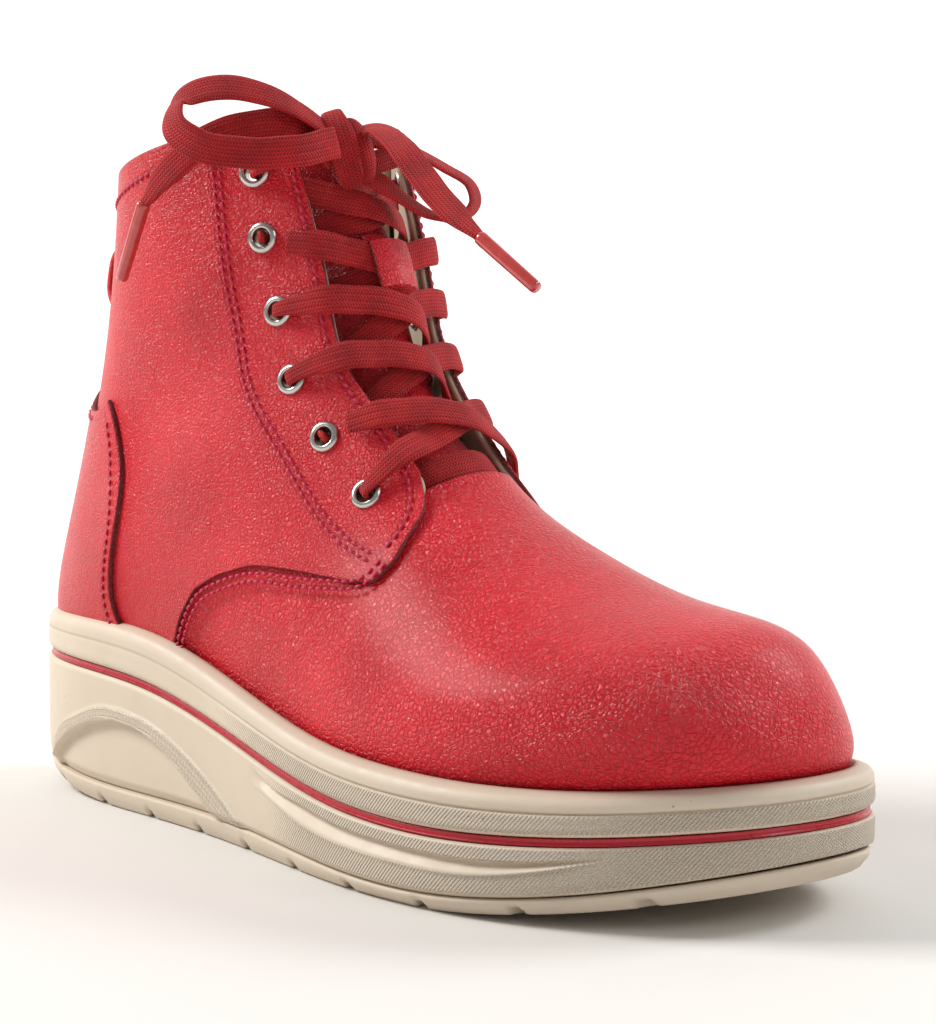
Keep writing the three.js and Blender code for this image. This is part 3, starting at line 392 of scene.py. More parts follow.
def mask_of(tree, name):
    """A piece's own painted mask."""
    made = tree.nodes.new("ShaderNodeAttribute")
    made.attribute_name = name
    return made.outputs["Fac"]


def noise(tree, vector, scale, detail=2.0, rough=0.5):
    """Noise value at a scale in cells per metre."""
    made = node(tree, "ShaderNodeTexNoise", Vector=vector, Scale=scale, Detail=detail, Roughness=rough)
    return made.outputs["Fac"]


def finish(name):
    """A material with an empty tree but for its shader; returns them and object coordinates."""
    made = bpy.data.materials.new(name)
    made.use_nodes = True
    tree = made.node_tree
    shader = tree.nodes["Principled BSDF"]
    return made, tree, shader, tree.nodes.new("ShaderNodeTexCoord").outputs["Object"]


# dust: small specks and a soft soiled film
dust_tree, dust_in, dust_out = group(
    "dust",
    [("Vector", "NodeSocketVector", None), ("Speck Scale", "NodeSocketFloat", 420.0),
     ("Amount", "NodeSocketFloat", 0.5)],
    [("Film", "NodeSocketFloat"), ("Specks", "NodeSocketFloat")],
)
film = noise(dust_tree, dust_in.outputs["Vector"], 38.0, 6.0, 0.62)
dots = node(dust_tree, "ShaderNodeTexVoronoi", Vector=dust_in.outputs["Vector"],
            Scale=dust_in.outputs["Speck Scale"])
near = ramp(dust_tree, dots.outputs["Distance"], 0.05, 0.13, 1.0, 0.0)
sparse = ramp(dust_tree, noise(dust_tree, dust_in.outputs["Vector"], 95.0), 0.63, 0.7)
dust_much = dust_in.outputs["Amount"]
dust_tree.links.new(times(dust_tree, ramp(dust_tree, film, 0.42, 0.72), dust_much), dust_out.inputs["Film"])
dust_tree.links.new(times(dust_tree, times(dust_tree, near, sparse), dust_much), dust_out.inputs["Specks"])


def use_group(tree, made, **values):
    """Places a node group in a material."""
    inside = tree.nodes.new("ShaderNodeGroup")
    inside.node_tree = made
    for key, value in values.items():
        feed(tree, inside.inputs[key.replace("_", " ")], value)
    return inside.outputs


def bump(tree, height, strength, distance, normal=None):
    """A bump node; distance is the relief in metres."""
    made = node(tree, "ShaderNodeBump", Height=height, Strength=strength, Distance=distance)
    if normal is not None:
        tree.links.new(normal, made.inputs["Normal"])
    return made.outputs["Normal"]


def foam_rubber():
    """Matte cream foam: fine pores, knurled bands where the mould has them, painted shade in the grooves,
    joints and underside.
    """
    made, tree, shader, at = finish("cream_foam")
    dust = use_group(tree, dust_tree, Vector=at, Amount=0.55)
    tone = blend_colours(tree, noise(tree, at, 60.0, 3.0), (0.62, 0.525, 0.41), (0.69, 0.59, 0.47))
    # painted shade: the mask lays dark brown into grooves, the joints between layers and the underside
    tone = blend_colours(tree, ramp(tree, mask_of(tree, "hollow"), 0, 1, 0, 0.55), tone, (0.36, 0.27, 0.185))
    tone = blend_colours(tree, ramp(tree, dust["Film"], 0, 1, 0, 0.22), tone, (0.5, 0.4, 0.29))
    tone = blend_colours(tree, ramp(tree, dust["Specks"], 0, 0.5, 0, 0.8), tone, (0.12, 0.09, 0.07))
    tree.links.new(tone, shader.inputs["Base Color"])
    tree.links.new(ramp(tree, noise(tree, at, 240.0), 0.3, 0.7, 0.46, 0.6), shader.inputs["Roughness"])
    # diagonal knurl and the heel's blocks, both laid out in millimetres on the wall
    wall = node(tree, "ShaderNodeUVMap", _uv_map="UVMap").outputs["UV"]
    slant = node(tree, "ShaderNodeVectorRotate", Vector=wall, Angle=-0.72).outputs["Vector"]
    rib = node(tree, "ShaderNodeTexWave", Vector=slant, Scale=0.5 / KNURL_PITCH,
               _bands_direction="X").outputs["Fac"]
    back_slant = node(tree, "ShaderNodeVectorRotate", Vector=wall, Angle=0.95).outputs["Vector"]
    cut = node(tree, "ShaderNodeTexWave", Vector=back_slant, Scale=0.55, _bands_direction="X").outputs["Fac"]
    knurl = times(tree, maths(tree, "ADD", rib, times(tree, cut, 0.35)), mask_of(tree, "knurl"))
    split_uv = node(tree, "ShaderNodeSeparateXYZ", Vector=wall)
    rows = node(tree, "ShaderNodeCombineXYZ", X=split_uv.outputs["X"], Y=mask_of(tree, "arc_mm"))
    block = node(tree, "ShaderNodeTexBrick", Vector=rows.outputs["Vector"], Scale=1.0)
    block.inputs["Brick Width"].default_value = 1.5
    block.inputs["Row Height"].default_value = 1.6
    block.inputs["Mortar Size"].default_value = 0.26
    block.inputs["Mortar Smooth"].default_value = 0.6
    blocks = times(tree, maths(tree, "SUBTRACT", 1.0, block.outputs["Fac"]), mask_of(tree, "blocks"))
    pores = bump(tree, noise(tree, at, 2600.0, 3.0), 0.12, 0.0001)
    ribs = bump(tree, knurl, 1.0, 0.0004, pores)
    tree.links.new(bump(tree, blocks, 1.0, 0.0006, ribs), shader.inputs["Normal"])
    return made


foam = foam_rubber()


def walls(offs, heights):
    """Rings stacked into a wall: each row an offset from the feather line and a height."""
    rows = []
    for off, height in zip(offs, heights):
        base = feather + plan_out * np.broadcast_to(off, (SOLE_STEPS,))[:, None]
        base[:, 2] = height(base[:, 0]) if callable(height) else height
        rows.append(base)
    return np.stack(rows)


girth = length_along(feather)


def wall_uv(wall):
    """Millimetres along the wall and up it."""
    return np.stack([np.broadcast_to(girth, wall.shape[:2]), wall[..., 2]], -1)


# rand: rounded lip, a groove, and a knurled band down to the red inlay
RAND_PROFILE = spline([0, 0.05, 0.12, 0.3, 0.47, 0.56, 0.7, 0.82, 0.92, 1.0],
                      [-0.9, -0.35, 0.0, 0.05, 0.0, -0.15, -0.2, -0.75, -2.0, -4.4])
rand_off, rand_up, rand_knurl, rand_hollow = [], [], [], []
fore = ease(-30, 25, feather[:, 0])
for share in np.linspace(0, 1, 44):
    groove = 0.62 * np.exp(-(((share - 0.53) / 0.028) ** 2))
    rand_off.append(SOLE_OUT + RAND_PROFILE(share) - groove * (0.35 + 0.65 * fore))
    rand_up.append(lambda x, s=share: stripe_z(x) + 0.15 + (feather_z(x) + 0.35 - stripe_z(x)) * s)
    rand_knurl.append(fore * ease(0.06, 0.1, share) * (1 - ease(0.46, 0.5, share)))
    # painted shade in the rand's groove, along its top where the leather sits, and on its hidden inner rows
    rand_hollow.append(np.full(SOLE_STEPS, np.exp(-(((share - 0.53) / 0.03) ** 2)) * 0.8
                               + 0.75 * ease(0.955, 1.0, share)))
for off, drop in ((1.2, 0.5), (0.4, 1.4), (0.2, 5.0)):
    rand_off.append(off)
    rand_up.append(lambda x, d=drop: feather_z(x) + 0.35 - d)
rand_off.append(SOLE_OUT - 3.4)
rand_up.append(lambda x: stripe_z(x) + 0.15)
rand_knurl += [np.zeros(SOLE_STEPS)] * 4
rand_hollow += [np.ones(SOLE_STEPS)] * 4
rand_wall = walls(rand_off, rand_up)
rand = piece("rand", rand_wall, [grid_faces(*rand_wall.shape[:2], flip=True, wrap_i=True, wrap_j=True)],
             masks={"knurl": np.stack(rand_knurl), "hollow": np.stack(rand_hollow),
                    "blocks": np.zeros(rand_wall.shape[:2])},
             uv=wall_uv(rand_wall), material=foam)
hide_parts("midsole_upper")

# inlaid band: a recessed strip of glossy dark red
def red_gloss():
    """Glossy dark red plastic with faint moulding streaks."""
    made, tree, shader, at = finish("inlay_red")
    tone = blend_colours(tree, noise(tree, at, 90.0, 3.0), (0.38, 0.006, 0.017), (0.5, 0.009, 0.024))
    tree.links.new(tone, shader.inputs["Base Color"])
    tree.links.new(ramp(tree, noise(tree, at, 300.0), 0.3, 0.7, 0.22, 0.36), shader.inputs["Roughness"])
    tree.links.new(bump(tree, noise(tree, at, 1200.0), 0.15, 0.0001), shader.inputs["Normal"])
    return made


band_rows = [(SOLE_OUT - 3.2, 0.15), (SOLE_OUT - 0.75, 0.2), (SOLE_OUT - 0.95, 0.45), (SOLE_OUT - 1.15, 1.0),
             (SOLE_OUT - 1.15, 1.5), (SOLE_OUT - 0.95, 1.8), (SOLE_OUT - 3.2, 1.85)]
band_wall = walls([r[0] for r in band_rows],
                  [(lambda x, h=r[1]: stripe_z(x) - STRIPE_H + h) for r in band_rows])
inlay = piece("inlay_band", band_wall,
              [grid_faces(*band_wall.shape[:2], flip=True, wrap_i=True, wrap_j=True)],
              uv=wall_uv(band_wall), material=red_gloss())
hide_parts("sole_stripe")

# side wall: heel arch with blocks between two arcs, a scooped flash in the forefoot
ARCH_OUTER = spline([-113, -108, -97, -85, -72, -57, -41, -28, -17, -6],
                    [13, 18.5, 24, 27.8, 28.6, 26.8, 22, 16.7, 11.3, 5])
ARCH_INNER = spline([-114, -108, -98, -85, -72, -56, -41, -29, -20],
                    [9, 13.5, 19.0, 23.3, 25.0, 22.6, 16.6, 10.0, 5])
FLASH_TOP = spline([-4, 2, 18, 35, 61, 88, 112], [23.5, 20.8, 17.8, 15.6, 14.0, 14.1, 17.0])
FLASH_LOW = spline([-4, 9, 20, 36, 61, 83, 112], [19.5, 16.5, 14.0, 11.9, 10.6, 11.0, 16.7])
side_share = np.linspace(0, 1, 56)
wall_base = feather + plan_out * SOLE_OUT
wx = wall_base[:, 0]
low_z, high_z = split_z(wx) + 0.15, stripe_z(wx) - STRIPE_H - 0.15
side_z = low_z + (high_z - low_z) * side_share[:, None]
round_off = -1.1 * (1 - ease(0.0, 0.09, side_share)) - 0.8 * ease(0.965, 1.0, side_share)
outer_arc, inner_arc = ARCH_OUTER(wx), ARCH_INNER(wx)
in_arch = ease(-116, -112, wx) * (1 - ease(-12, -6, wx))
under_outer = ease(-0.35, 0.35, outer_arc - side_z) * in_arch
under_inner = ease(-0.35, 0.35, inner_arc - side_z) * ease(-116, -110, wx) * (1 - ease(-26, -20, wx))
lip = np.exp(-(((side_z - inner_arc - 0.6) / 0.7) ** 2)) * in_arch
arch = 0.95 * under_outer + 0.45 * lip - 2.0 * under_inner
flash_in = ease(-4, 6, wx) * (1 - ease(96, 112, wx))
t = (FLASH_TOP(wx) - side_z) / np.maximum(FLASH_TOP(wx) - FLASH_LOW(wx), 0.4)
flash = -1.5 * flash_in * ease(-0.06, 0.12, t) * (1 - ease(0.15, 1.0, t))
ridge = 0.35 * flash_in * np.exp(-(((t - 1.08) / 0.22) ** 2))
side_off = SOLE_OUT + round_off[:, None] + arch + flash + ridge
side_off = side_off - 0.25 * (1 - ease(0.0, 0.3, side_share))[:, None]
smooth_zone = flash_in * ease(-0.1, 0.0, t) * (1 - ease(1.1, 1.25, t))
side_knurl = ease(-2, 30, wx) * (1 - smooth_zone) * ease(0.05, 0.1, side_share)[:, None] * (
    1 - ease(0.93, 0.97, side_share))[:, None]
side_blocks = np.clip(under_outer - under_inner - 1.2 * lip, 0, 1) * ease(0.25, 0.8, outer_arc - side_z)
# painted shade along both arcs of the heel arch and under the top edge of the forefoot flash
side_hollow = (0.35 * np.exp(-(((side_z - outer_arc) / 0.35) ** 2)) * in_arch
               + 0.45 * np.exp(-(((side_z - inner_arc + 0.45) / 0.35) ** 2)) * in_arch
               + 0.35 * smooth_zone * np.exp(-((t / 0.2) ** 2)))
side_rows = walls(side_off, side_z)
shelf = walls([SOLE_OUT - 3.5, SOLE_OUT - 3.5], [high_z, low_z])
side_wall = np.concatenate([side_rows, shelf])


def with_shelf(mask):
    """A wall mask with two rows of nothing added for the hidden shelf."""
    return np.concatenate([mask, np.zeros((2, SOLE_STEPS))])


side = piece("side_wall", side_wall,
             [grid_faces(*side_wall.shape[:2], flip=True, wrap_i=True, wrap_j=True)],
             masks={"knurl": with_shelf(side_knurl), "hollow": with_shelf(side_hollow),
                    "blocks": with_shelf(side_blocks), "arc_mm": with_shelf(10 + outer_arc - side_z)},
             uv=wall_uv(side_wall), material=foam)
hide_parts("midsole_lower")

# outsole: a thin moulded tread, notched across every 25 mm
TREAD_X = np.arange(-110, 125, 25.0)
TREAD_DEPTH = 1.4


def notch(x):
    """1 in the middle of a tread groove, 0 away from it."""
    gap = np.abs(x[..., None] - TREAD_X).min(-1)
    return 1 - ease(0.9, 1.9, gap)


def outsole_ring(off, height):
    """Outer and inner halves of a ring, paired across the sole."""
    ring = walls([off], [height])[0]
    k = np.arange(half + 1)
    return ring[k], ring[(SOLE_STEPS - k) % SOLE_STEPS]


tread_rows = [(SOLE_OUT - 3.4, lambda x: split_z(x) - 0.15), (SOLE_OUT - 1.5, lambda x: split_z(x) - 0.15),
              (SOLE_OUT - 0.75, lambda x: split_z(x) - 0.55), (SOLE_OUT - 0.8, lambda x: split_z(x) - 1.2)]
for s in (0.25, 0.5, 0.75, 1.0):
    tread_rows.append((SOLE_OUT - 0.9 - 1.5 * s**2,
                       lambda x, s=s: (split_z(x) - 1.2) * (1 - s) + (floor_z(x) + 1.0) * s))
tread_rows += [(SOLE_OUT - 2.9, lambda x: floor_z(x) + 0.35), (SOLE_OUT - 3.7, floor_z)]
left, right = zip(*[outsole_ring(off, height) for off, height in tread_rows])
left, right = np.stack(left, 1), np.stack(right, 1)
low = np.linspace(0, 1, len(tread_rows)) ** 2
for wall in (left, right):
    inwards = unit((left[:, -1] + right[:, -1]) / 2 - wall[:, -1] + 1e-9) * [1, 1, 0]
    cutting = notch(wall[..., 0])
    near_floor = 1 - ease(0.2, 3.4, wall[..., 2] - floor_z(wall[..., 0]))
    wall += inwards[:, None] * (2.0 * cutting * near_floor)[..., None]
    wall[..., 2] += TREAD_DEPTH * cutting * (1 - ease(0.1, 2.2, wall[..., 2] - floor_z(wall[..., 0])))
across = np.linspace(0, 1, 58)[1:-1]
bottom = left[:, -1][:, None] * (1 - across[:, None]) + right[:, -1][:, None] * across[:, None]
bottom_cut = notch(bottom[..., 0] + 2.2 * np.sin((across - 0.5) * 9.0)[None])
bottom[..., 2] = floor_z(bottom[..., 0]) + TREAD_DEPTH * bottom_cut
ribbed = 0.35 * (0.5 + 0.5 * np.sin(bottom[..., 0] * 2 * np.pi / 4.2)) * ease(0.06, 0.1, across) * (
    1 - ease(0.9, 0.94, across)) * (1 - bottom_cut)
bottom[..., 2] += ribbed
lid = right[:, :1] * 0.5 + left[:, :1] * 0.5
tread_grid = np.concatenate([left, bottom, right[:, ::-1], lid], 1)
# painted shade in the tread notches, over the whole underside and along the joint with the side wall
hollow = np.concatenate([0.6 * notch(left[..., 0]) * low, 0.7 * bottom_cut + 0.12,
                         0.6 * notch(right[:, ::-1, 0]) * low[::-1], np.zeros((half + 1, 1))], 1)
hollow[:, 1] += 0.6
hollow[:, -3] += 0.6
tread = piece("outsole_tread", tread_grid, [grid_faces(*tread_grid.shape[:2], wrap_j=True)],
              masks={"knurl": np.zeros_like(hollow), "hollow": hollow, "blocks": np.zeros_like(hollow)},
              uv=tread_grid[..., :2], material=foam, weld=0.002)
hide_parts("outsole")

# ------------------------------------------------------------------ vamp
# The front of the upper: one piece of full-grain leather pulled over the last from
# toe to instep and tucked under the rand all round. Pebbled grain, slightly glossy.
GRAIN_CELLS = 720.0
TUCK = 2.5
RED_BRIGHT, RED_DEEP = (0.78, 0.006, 0.022), (0.62, 0.004, 0.014)
# RED_CREASE is painted shade for the grain's creases and the seam grooves; RED_CUT is the raw cut edge
RED_CREASE, RED_CUT = (0.28, 0.003, 0.009), (0.13, 0.005, 0.012)


def level(u, deg):
    """Height of a last point above the tucked edge."""
    return above_feather(u, deg) + TUCK


def tuck_deg(u):
    """How far round the leather reaches at a station before it is tucked in."""
    return last_true(lambda d: level(u, d) > 0, np.zeros_like(u), np.full_like(u, 180.0))


def tuck_u(deg):
    """The lowest station of the leather at an angle, where it is tucked in."""
    first = np.full_like(deg, 0.4)
    found = last_true(lambda u: level(u, deg) <= 0, first, np.full_like(deg, 0.95))
    return np.where(level(first, deg) > 0, first, found)


def spaced(count, span):
    """Shares from 0 to 1, drawn together at both ends so that an edge can be rounded."""
    near = np.array([0, 0.12, 0.3, 0.55, 0.9]) / span
    return np.concatenate([near, np.linspace(1.5 / span, 1 - 1.5 / span, count - 10), 1 - near[::-1]])


def border_distance(points):
    """Distance in millimetres from each grid point to the nearest side of the grid."""
    far = []
    for axis in (0, 1):
        step = np.linalg.norm(np.diff(points, axis=axis), axis=-1)
        before = [(0, 0), (0, 0)]
        before[axis] = (1, 0)
        run = np.cumsum(np.pad(step, before), axis=axis)
        far += [run, run.max(axis=axis, keepdims=True) - run]
    return np.minimum.reduce(far)


def line_distance(points, line):
    """Distance from points to a line of samples, at most 4 mm, worked in blocks."""
    flat = points.reshape(-1, 3)
    best = np.full(len(flat), 4.0)
    for k in range(0, len(flat), 6000):
        block = flat[k : k + 6000]
        sq = (block**2).sum(1)[:, None] + (line**2).sum(1)[None] - 2 * block @ line.T
        best[k : k + 6000] = np.minimum(4.0, np.sqrt(np.maximum(sq.min(1), 0)))
    return best.reshape(points.shape[:-1])


def shell(name, u, deg, top, bottom, material, body="boot", hole=None, lines=(), soft=None):
    """A leather or cloth piece: outer and inner skins over the last with rounded edges."""
    base = skin(u, deg, 0)
    edge = border_distance(base)
    thick = np.broadcast_to(top - bottom, u.shape)
    radius = thick / 2 if soft is None else soft
    bulge = np.sqrt(np.maximum(0, 1 - (1 - np.clip(edge / radius, 0, 1)) ** 2))
    mid = (top + bottom) / 2 * np.ones_like(u)
    outer = skin(u, deg, mid + thick / 2 * bulge)
    inner = skin(u, deg, mid - thick / 2 * bulge)
    ns, nt = u.shape
    cells = grid_faces(ns, nt).reshape(ns - 1, nt - 1, 4)
    gone = np.zeros((ns - 1, nt - 1), bool) if hole is None else hole
    faces = [cells[~gone], cells[~gone][:, ::-1] + ns * nt]
    for axis in (0, 1):
        differ = np.diff(gone.astype(int), axis=axis) != 0
        i, j = np.nonzero(differ)
        first = (i + 1) * nt + j if axis == 0 else i * nt + j + 1
        second = first + (1 if axis == 0 else nt)
        if len(first):
            faces.append(np.stack([first, second, second + ns * nt, first + ns * nt], -1))
    both = np.concatenate([outer.reshape(-1, 3), inner.reshape(-1, 3)])
    masks = {"edge_mm": np.tile(np.minimum(edge, 4).ravel(), 2)}
    seam = np.full(ns * nt, 4.0)
    if len(lines):
        seam = line_distance(outer, np.concatenate(lines)).ravel()
    masks["seam_mm"] = np.concatenate([seam, np.full(ns * nt, 4.0)])
    masks["inside"] = np.concatenate([np.zeros(ns * nt), np.ones(ns * nt)])
    return piece(name, both, faces, body, masks, material=material, weld=0.004)


# leather grain: rounded pebbles between fine creases, a little uneven
grain_tree, grain_in, grain_out = group(
    "leather_grain",
    [("Vector", "NodeSocketVector", None), ("Cells", "NodeSocketFloat", GRAIN_CELLS)],
    [("Height", "NodeSocketFloat"), ("Crease", "NodeSocketFloat")],
)
wander = node(grain_tree, "ShaderNodeTexNoise", Vector=grain_in.outputs["Vector"],
              Scale=260.0, Detail=2.0)
shift = node(grain_tree, "ShaderNodeVectorMath", _operation="MULTIPLY_ADD", in0=wander.outputs["Color"],
             in1=(0.0016, 0.0016, 0.0016), in2=grain_in.outputs["Vector"])
pebbles = node(grain_tree, "ShaderNodeTexVoronoi", _feature="DISTANCE_TO_EDGE", Vector=shift.outputs[0],
               Scale=grain_in.outputs["Cells"])
small = node(grain_tree, "ShaderNodeTexVoronoi", _feature="DISTANCE_TO_EDGE", Vector=shift.outputs[0],
             Scale=times(grain_tree, grain_in.outputs["Cells"], 2.3))
dome = ramp(grain_tree, pebbles.outputs["Distance"], 0.0, 0.3)
dome = maths(grain_tree, "POWER", dome, 0.55)
fine = ramp(grain_tree, small.outputs["Distance"], 0.0, 0.25)
grain_tree.links.new(maths(grain_tree, "ADD", dome, times(grain_tree, fine, 0.3)),
                     grain_out.inputs["Height"])
grain_tree.links.new(ramp(grain_tree, pebbles.outputs["Distance"], 0.0, 0.09, 1.0, 0.0),
                     grain_out.inputs["Crease"])

# edge wear and seam groove: a dark raw rim where the leather is cut, and a groove under a stitch row that the
# leather darkens as painted shade
rim_tree, rim_in, rim_out = group(
    "cut_edge",
    [("Vector", "NodeSocketVector", None), ("Edge", "NodeSocketFloat", 4.0),
     ("Seam", "NodeSocketFloat", 4.0)],
    [("Rim", "NodeSocketFloat"), ("Groove", "NodeSocketFloat")],
)
ragged = times(rim_tree, maths(rim_tree, "SUBTRACT",
                               noise(rim_tree, rim_in.outputs["Vector"], 900.0), 0.5), 0.5)
rim_edge = maths(rim_tree, "ADD", rim_in.outputs["Edge"], ragged)
rim_tree.links.new(ramp(rim_tree, rim_edge, 0.15, 0.55, 1.0, 0.0), rim_out.inputs["Rim"])
rim_tree.links.new(ramp(rim_tree, rim_in.outputs["Seam"], 0.15, 1.3, 1.0, 0.0), rim_out.inputs["Groove"])


def leather(name, cells=GRAIN_CELLS, relief=0.00016, rough=0.36, inner=(0.55, 0.47, 0.38)):
    """Finished red leather with pebbles, creases, dark cut edges and grooved seams, with painted shade in the
    creases and seam grooves.
    """
    made, tree, shader, at = finish(name)
    grain = use_group(tree, grain_tree, Vector=at, Cells=cells)
    rim = use_group(tree, rim_tree, Vector=at, Edge=mask_of(tree, "edge_mm"),
                    Seam=mask_of(tree, "seam_mm"))
    dust = use_group(tree, dust_tree, Vector=at, Speck_Scale=360.0, Amount=0.35)
    patch = noise(tree, at, 26.0, 3.0)
    tone = blend_colours(tree, ramp(tree, patch, 0.3, 0.7), RED_DEEP, RED_BRIGHT)
    # painted shade: darker red in the grain's creases
    tone = blend_colours(tree, times(tree, grain["Crease"], 0.45), tone, RED_CREASE)
    # painted shade: darker red in the groove along each stitch row
    tone = blend_colours(tree, times(tree, rim["Groove"], 0.4), tone, RED_CREASE)
    tone = blend_colours(tree, times(tree, dust["Specks"], 0.5), tone, (0.3, 0.2, 0.18))
    tone = blend_colours(tree, mask_of(tree, "inside"), tone, inner)
    tone = blend_colours(tree, times(tree, rim["Rim"], 0.9), tone, RED_CUT)
    tree.links.new(tone, shader.inputs["Base Color"])
    dull = ramp(tree, noise(tree, at, 55.0, 4.0), 0.3, 0.7, rough - 0.05, rough + 0.07)
    dull = maths(tree, "ADD", dull, times(tree, rim["Rim"], 0.35))
    tree.links.new(dull, shader.inputs["Roughness"])
    shader.inputs["Specular IOR Level"].default_value = 0.4
    shader.inputs["Coat Weight"].default_value = 0.1
    shader.inputs["Coat Roughness"].default_value = 0.28
    lie = ramp(tree, noise(tree, at, 42.0, 3.0), 0.25, 0.75, 0.55, 1.0)
    ripple = bump(tree, noise(tree, at, 75.0, 3.0), 0.3, 0.0007)
    pebble = bump(tree, times(tree, grain["Height"], lie), 1.0, relief, ripple)
    tree.links.new(bump(tree, maths(tree, "SUBTRACT", 1.0, rim["Groove"]), 0.8, 0.0004, pebble),
                   shader.inputs["Normal"])
    return made


vamp_leather = leather("vamp_leather", relief=0.00042, rough=0.33)
VAMP_T = 1.3


def vamp_top(deg):
    """The vamp's upper cut edge: its station at an angle."""
    return np.interp(np.abs(deg), [0, 52, 60, 70, 80, 100, 140], [.478, .478, .5, .52, .54, .56, .56])


toe_line = np.linspace(-0.05, 0.05, 2001)
toe_u = toe_line[np.argmax(level(toe_line, np.zeros(2001)) > 0)]
share_t = (spaced(214, 150.0) * 2 - 1)[None]
share_s = spaced(226, 190.0)[:, None]
share_s = share_s * (0.35 + 0.65 * share_s)
vamp_u = toe_u + (0.5 - toe_u) * share_s + 0 * share_t
for _ in range(14):
    vamp_d = share_t * tuck_deg(vamp_u)
    vamp_u = toe_u + (vamp_top(vamp_d) - toe_u) * share_s
vamp_d = share_t * tuck_deg(vamp_u)
vamp = shell("vamp_upper", vamp_u, vamp_d, 0.0, -VAMP_T, vamp_leather)
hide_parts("vamp")

# ------------------------------------------------------------------ quarters
# The two side pieces, each with its eyelet stay in one piece of the same leather:
# cut edges left raw, lapped over the vamp and closed by two rows of thread.
Q_OUT, Q_IN = 1.7, 0.3
FRONT_EDGE = spline([.45, .505, .578, .672, .81, .9, 1], [26.5, 25.5, 28.5, 30, 31, 30.5, 30])
LOW_DEG = [20, 26.5, 27.5, 29.5, 33, 36.5, 47.5, 55, 60, 69, 79, 88, 95.5, 106, 115, 125, 180]
LOW_U = [.5, .49, .478, .465, .455, .45, .432, .427, .44, .475, .51, .527, .535, .53, .522, .515, .515]
EYE_U = np.array([.93, .848, .753, .642, .56, .495])
EYE_DEG = np.array([47, 48, 46, 44.5, 44, 42.5])
EYE_BORE = 2.35


def low_edge(deg):
    """The quarter's lower cut edge, with its corners rounded."""
    wide = np.linspace(-1.2, 1.2, 9)
    return np.mean([np.interp(deg + w, LOW_DEG, LOW_U) for w in wide], axis=0)


def seam_line(us, degs, shift=0.0, off=Q_OUT, count=1400):
    """A smooth line over the leather through stations and angles, moved sideways by shift."""
    us, degs = np.asarray(us, float), np.asarray(degs, float)
    run = length_along(skin(us, degs))
    path = spline(run, np.stack([us, degs], -1))(np.linspace(0, run[-1], count))
    p, n = skin(path[:, 0], path[:, 1], off), outward(path[:, 0], path[:, 1])
    t = unit(np.gradient(p, axis=0))
    return p + unit(np.cross(n, t)) * shift, n


def stitches(name, rows, material, body="boot", pitch=2.7, size=2.15, thread=0.42):
    """Thread lying in rows of short bars, each dipping into the leather at its ends."""
    around = np.linspace(0, 2 * np.pi, 8, endpoint=False)
    reach = np.array([-1, -0.97, -0.8, -0.4, 0, 0.4, 0.8, 0.97, 1])
    fat = np.sqrt(np.maximum(0, 1 - np.abs(reach) ** 6)) * thread
    fat[[0, -1]] = 0.0
    body_x = np.repeat(reach * size / 2, 8)
    body_y = (fat[:, None] * np.cos(around)).ravel()
    body_z = (fat[:, None] * np.sin(around) * 0.8 + (0.3 - 0.5 * reach**2)[:, None]).ravel()
    cells = grid_faces(9, 8, wrap_j=True)
    points, faces, count = [], [], 0
    for line, normal in rows:
        run = length_along(line)
        centre = np.arange(pitch * 0.6, run[-1] - pitch * 0.4, pitch)
        at = resample(centre, run, line)
        n = unit(resample(centre, run, normal))
        t = unit(resample(centre + 0.4, run, line) - at)
        n = unit(n - t * (n * t).sum(-1, keepdims=True))
        w = np.cross(n, t)
        t = unit(t + 0.09 * w)
        w = np.cross(n, t)
        bars = (at[:, None] + body_x[None, :, None] * t[:, None] + body_y[None, :, None] * w[:, None]
                + body_z[None, :, None] * n[:, None])
        points.append(bars.reshape(-1, 3))
        faces.append((cells[None] + (np.arange(len(at)) * 72)[:, None, None] + count).reshape(-1, 4))
        count += len(at) * 72
    return piece(name, np.concatenate(points), [np.concatenate(faces)], body, material=material, weld=0.002)


def thread_red():
    """Waxed polyester thread, two plies twisted."""
    made, tree, shader, at = finish("thread")
    ply = node(tree, "ShaderNodeTexNoise", Vector=at, Scale=2400.0, Detail=1.0).outputs["Fac"]
    tone = blend_colours(tree, ply, (0.42, 0.006, 0.04), (0.72, 0.02, 0.09))
    tree.links.new(tone, shader.inputs["Base Color"])
    shader.inputs["Roughness"].default_value = 0.5
    tree.links.new(bump(tree, ply, 0.5, 0.00015), shader.inputs["Normal"])
    return made


def eyelet_holes(u, deg, side, off, reach):
    """Cells of a leather grid whose middle lies closer than reach to an eyelet's centre."""
    eyes = skin(EYE_U, side * EYE_DEG, off)
    middle = skin(u, deg, off)
    centre = (middle[1:, 1:] + middle[:-1, :-1]) / 2
    return np.linalg.norm(centre[:, :, None] - eyes, axis=-1).min(-1) < reach


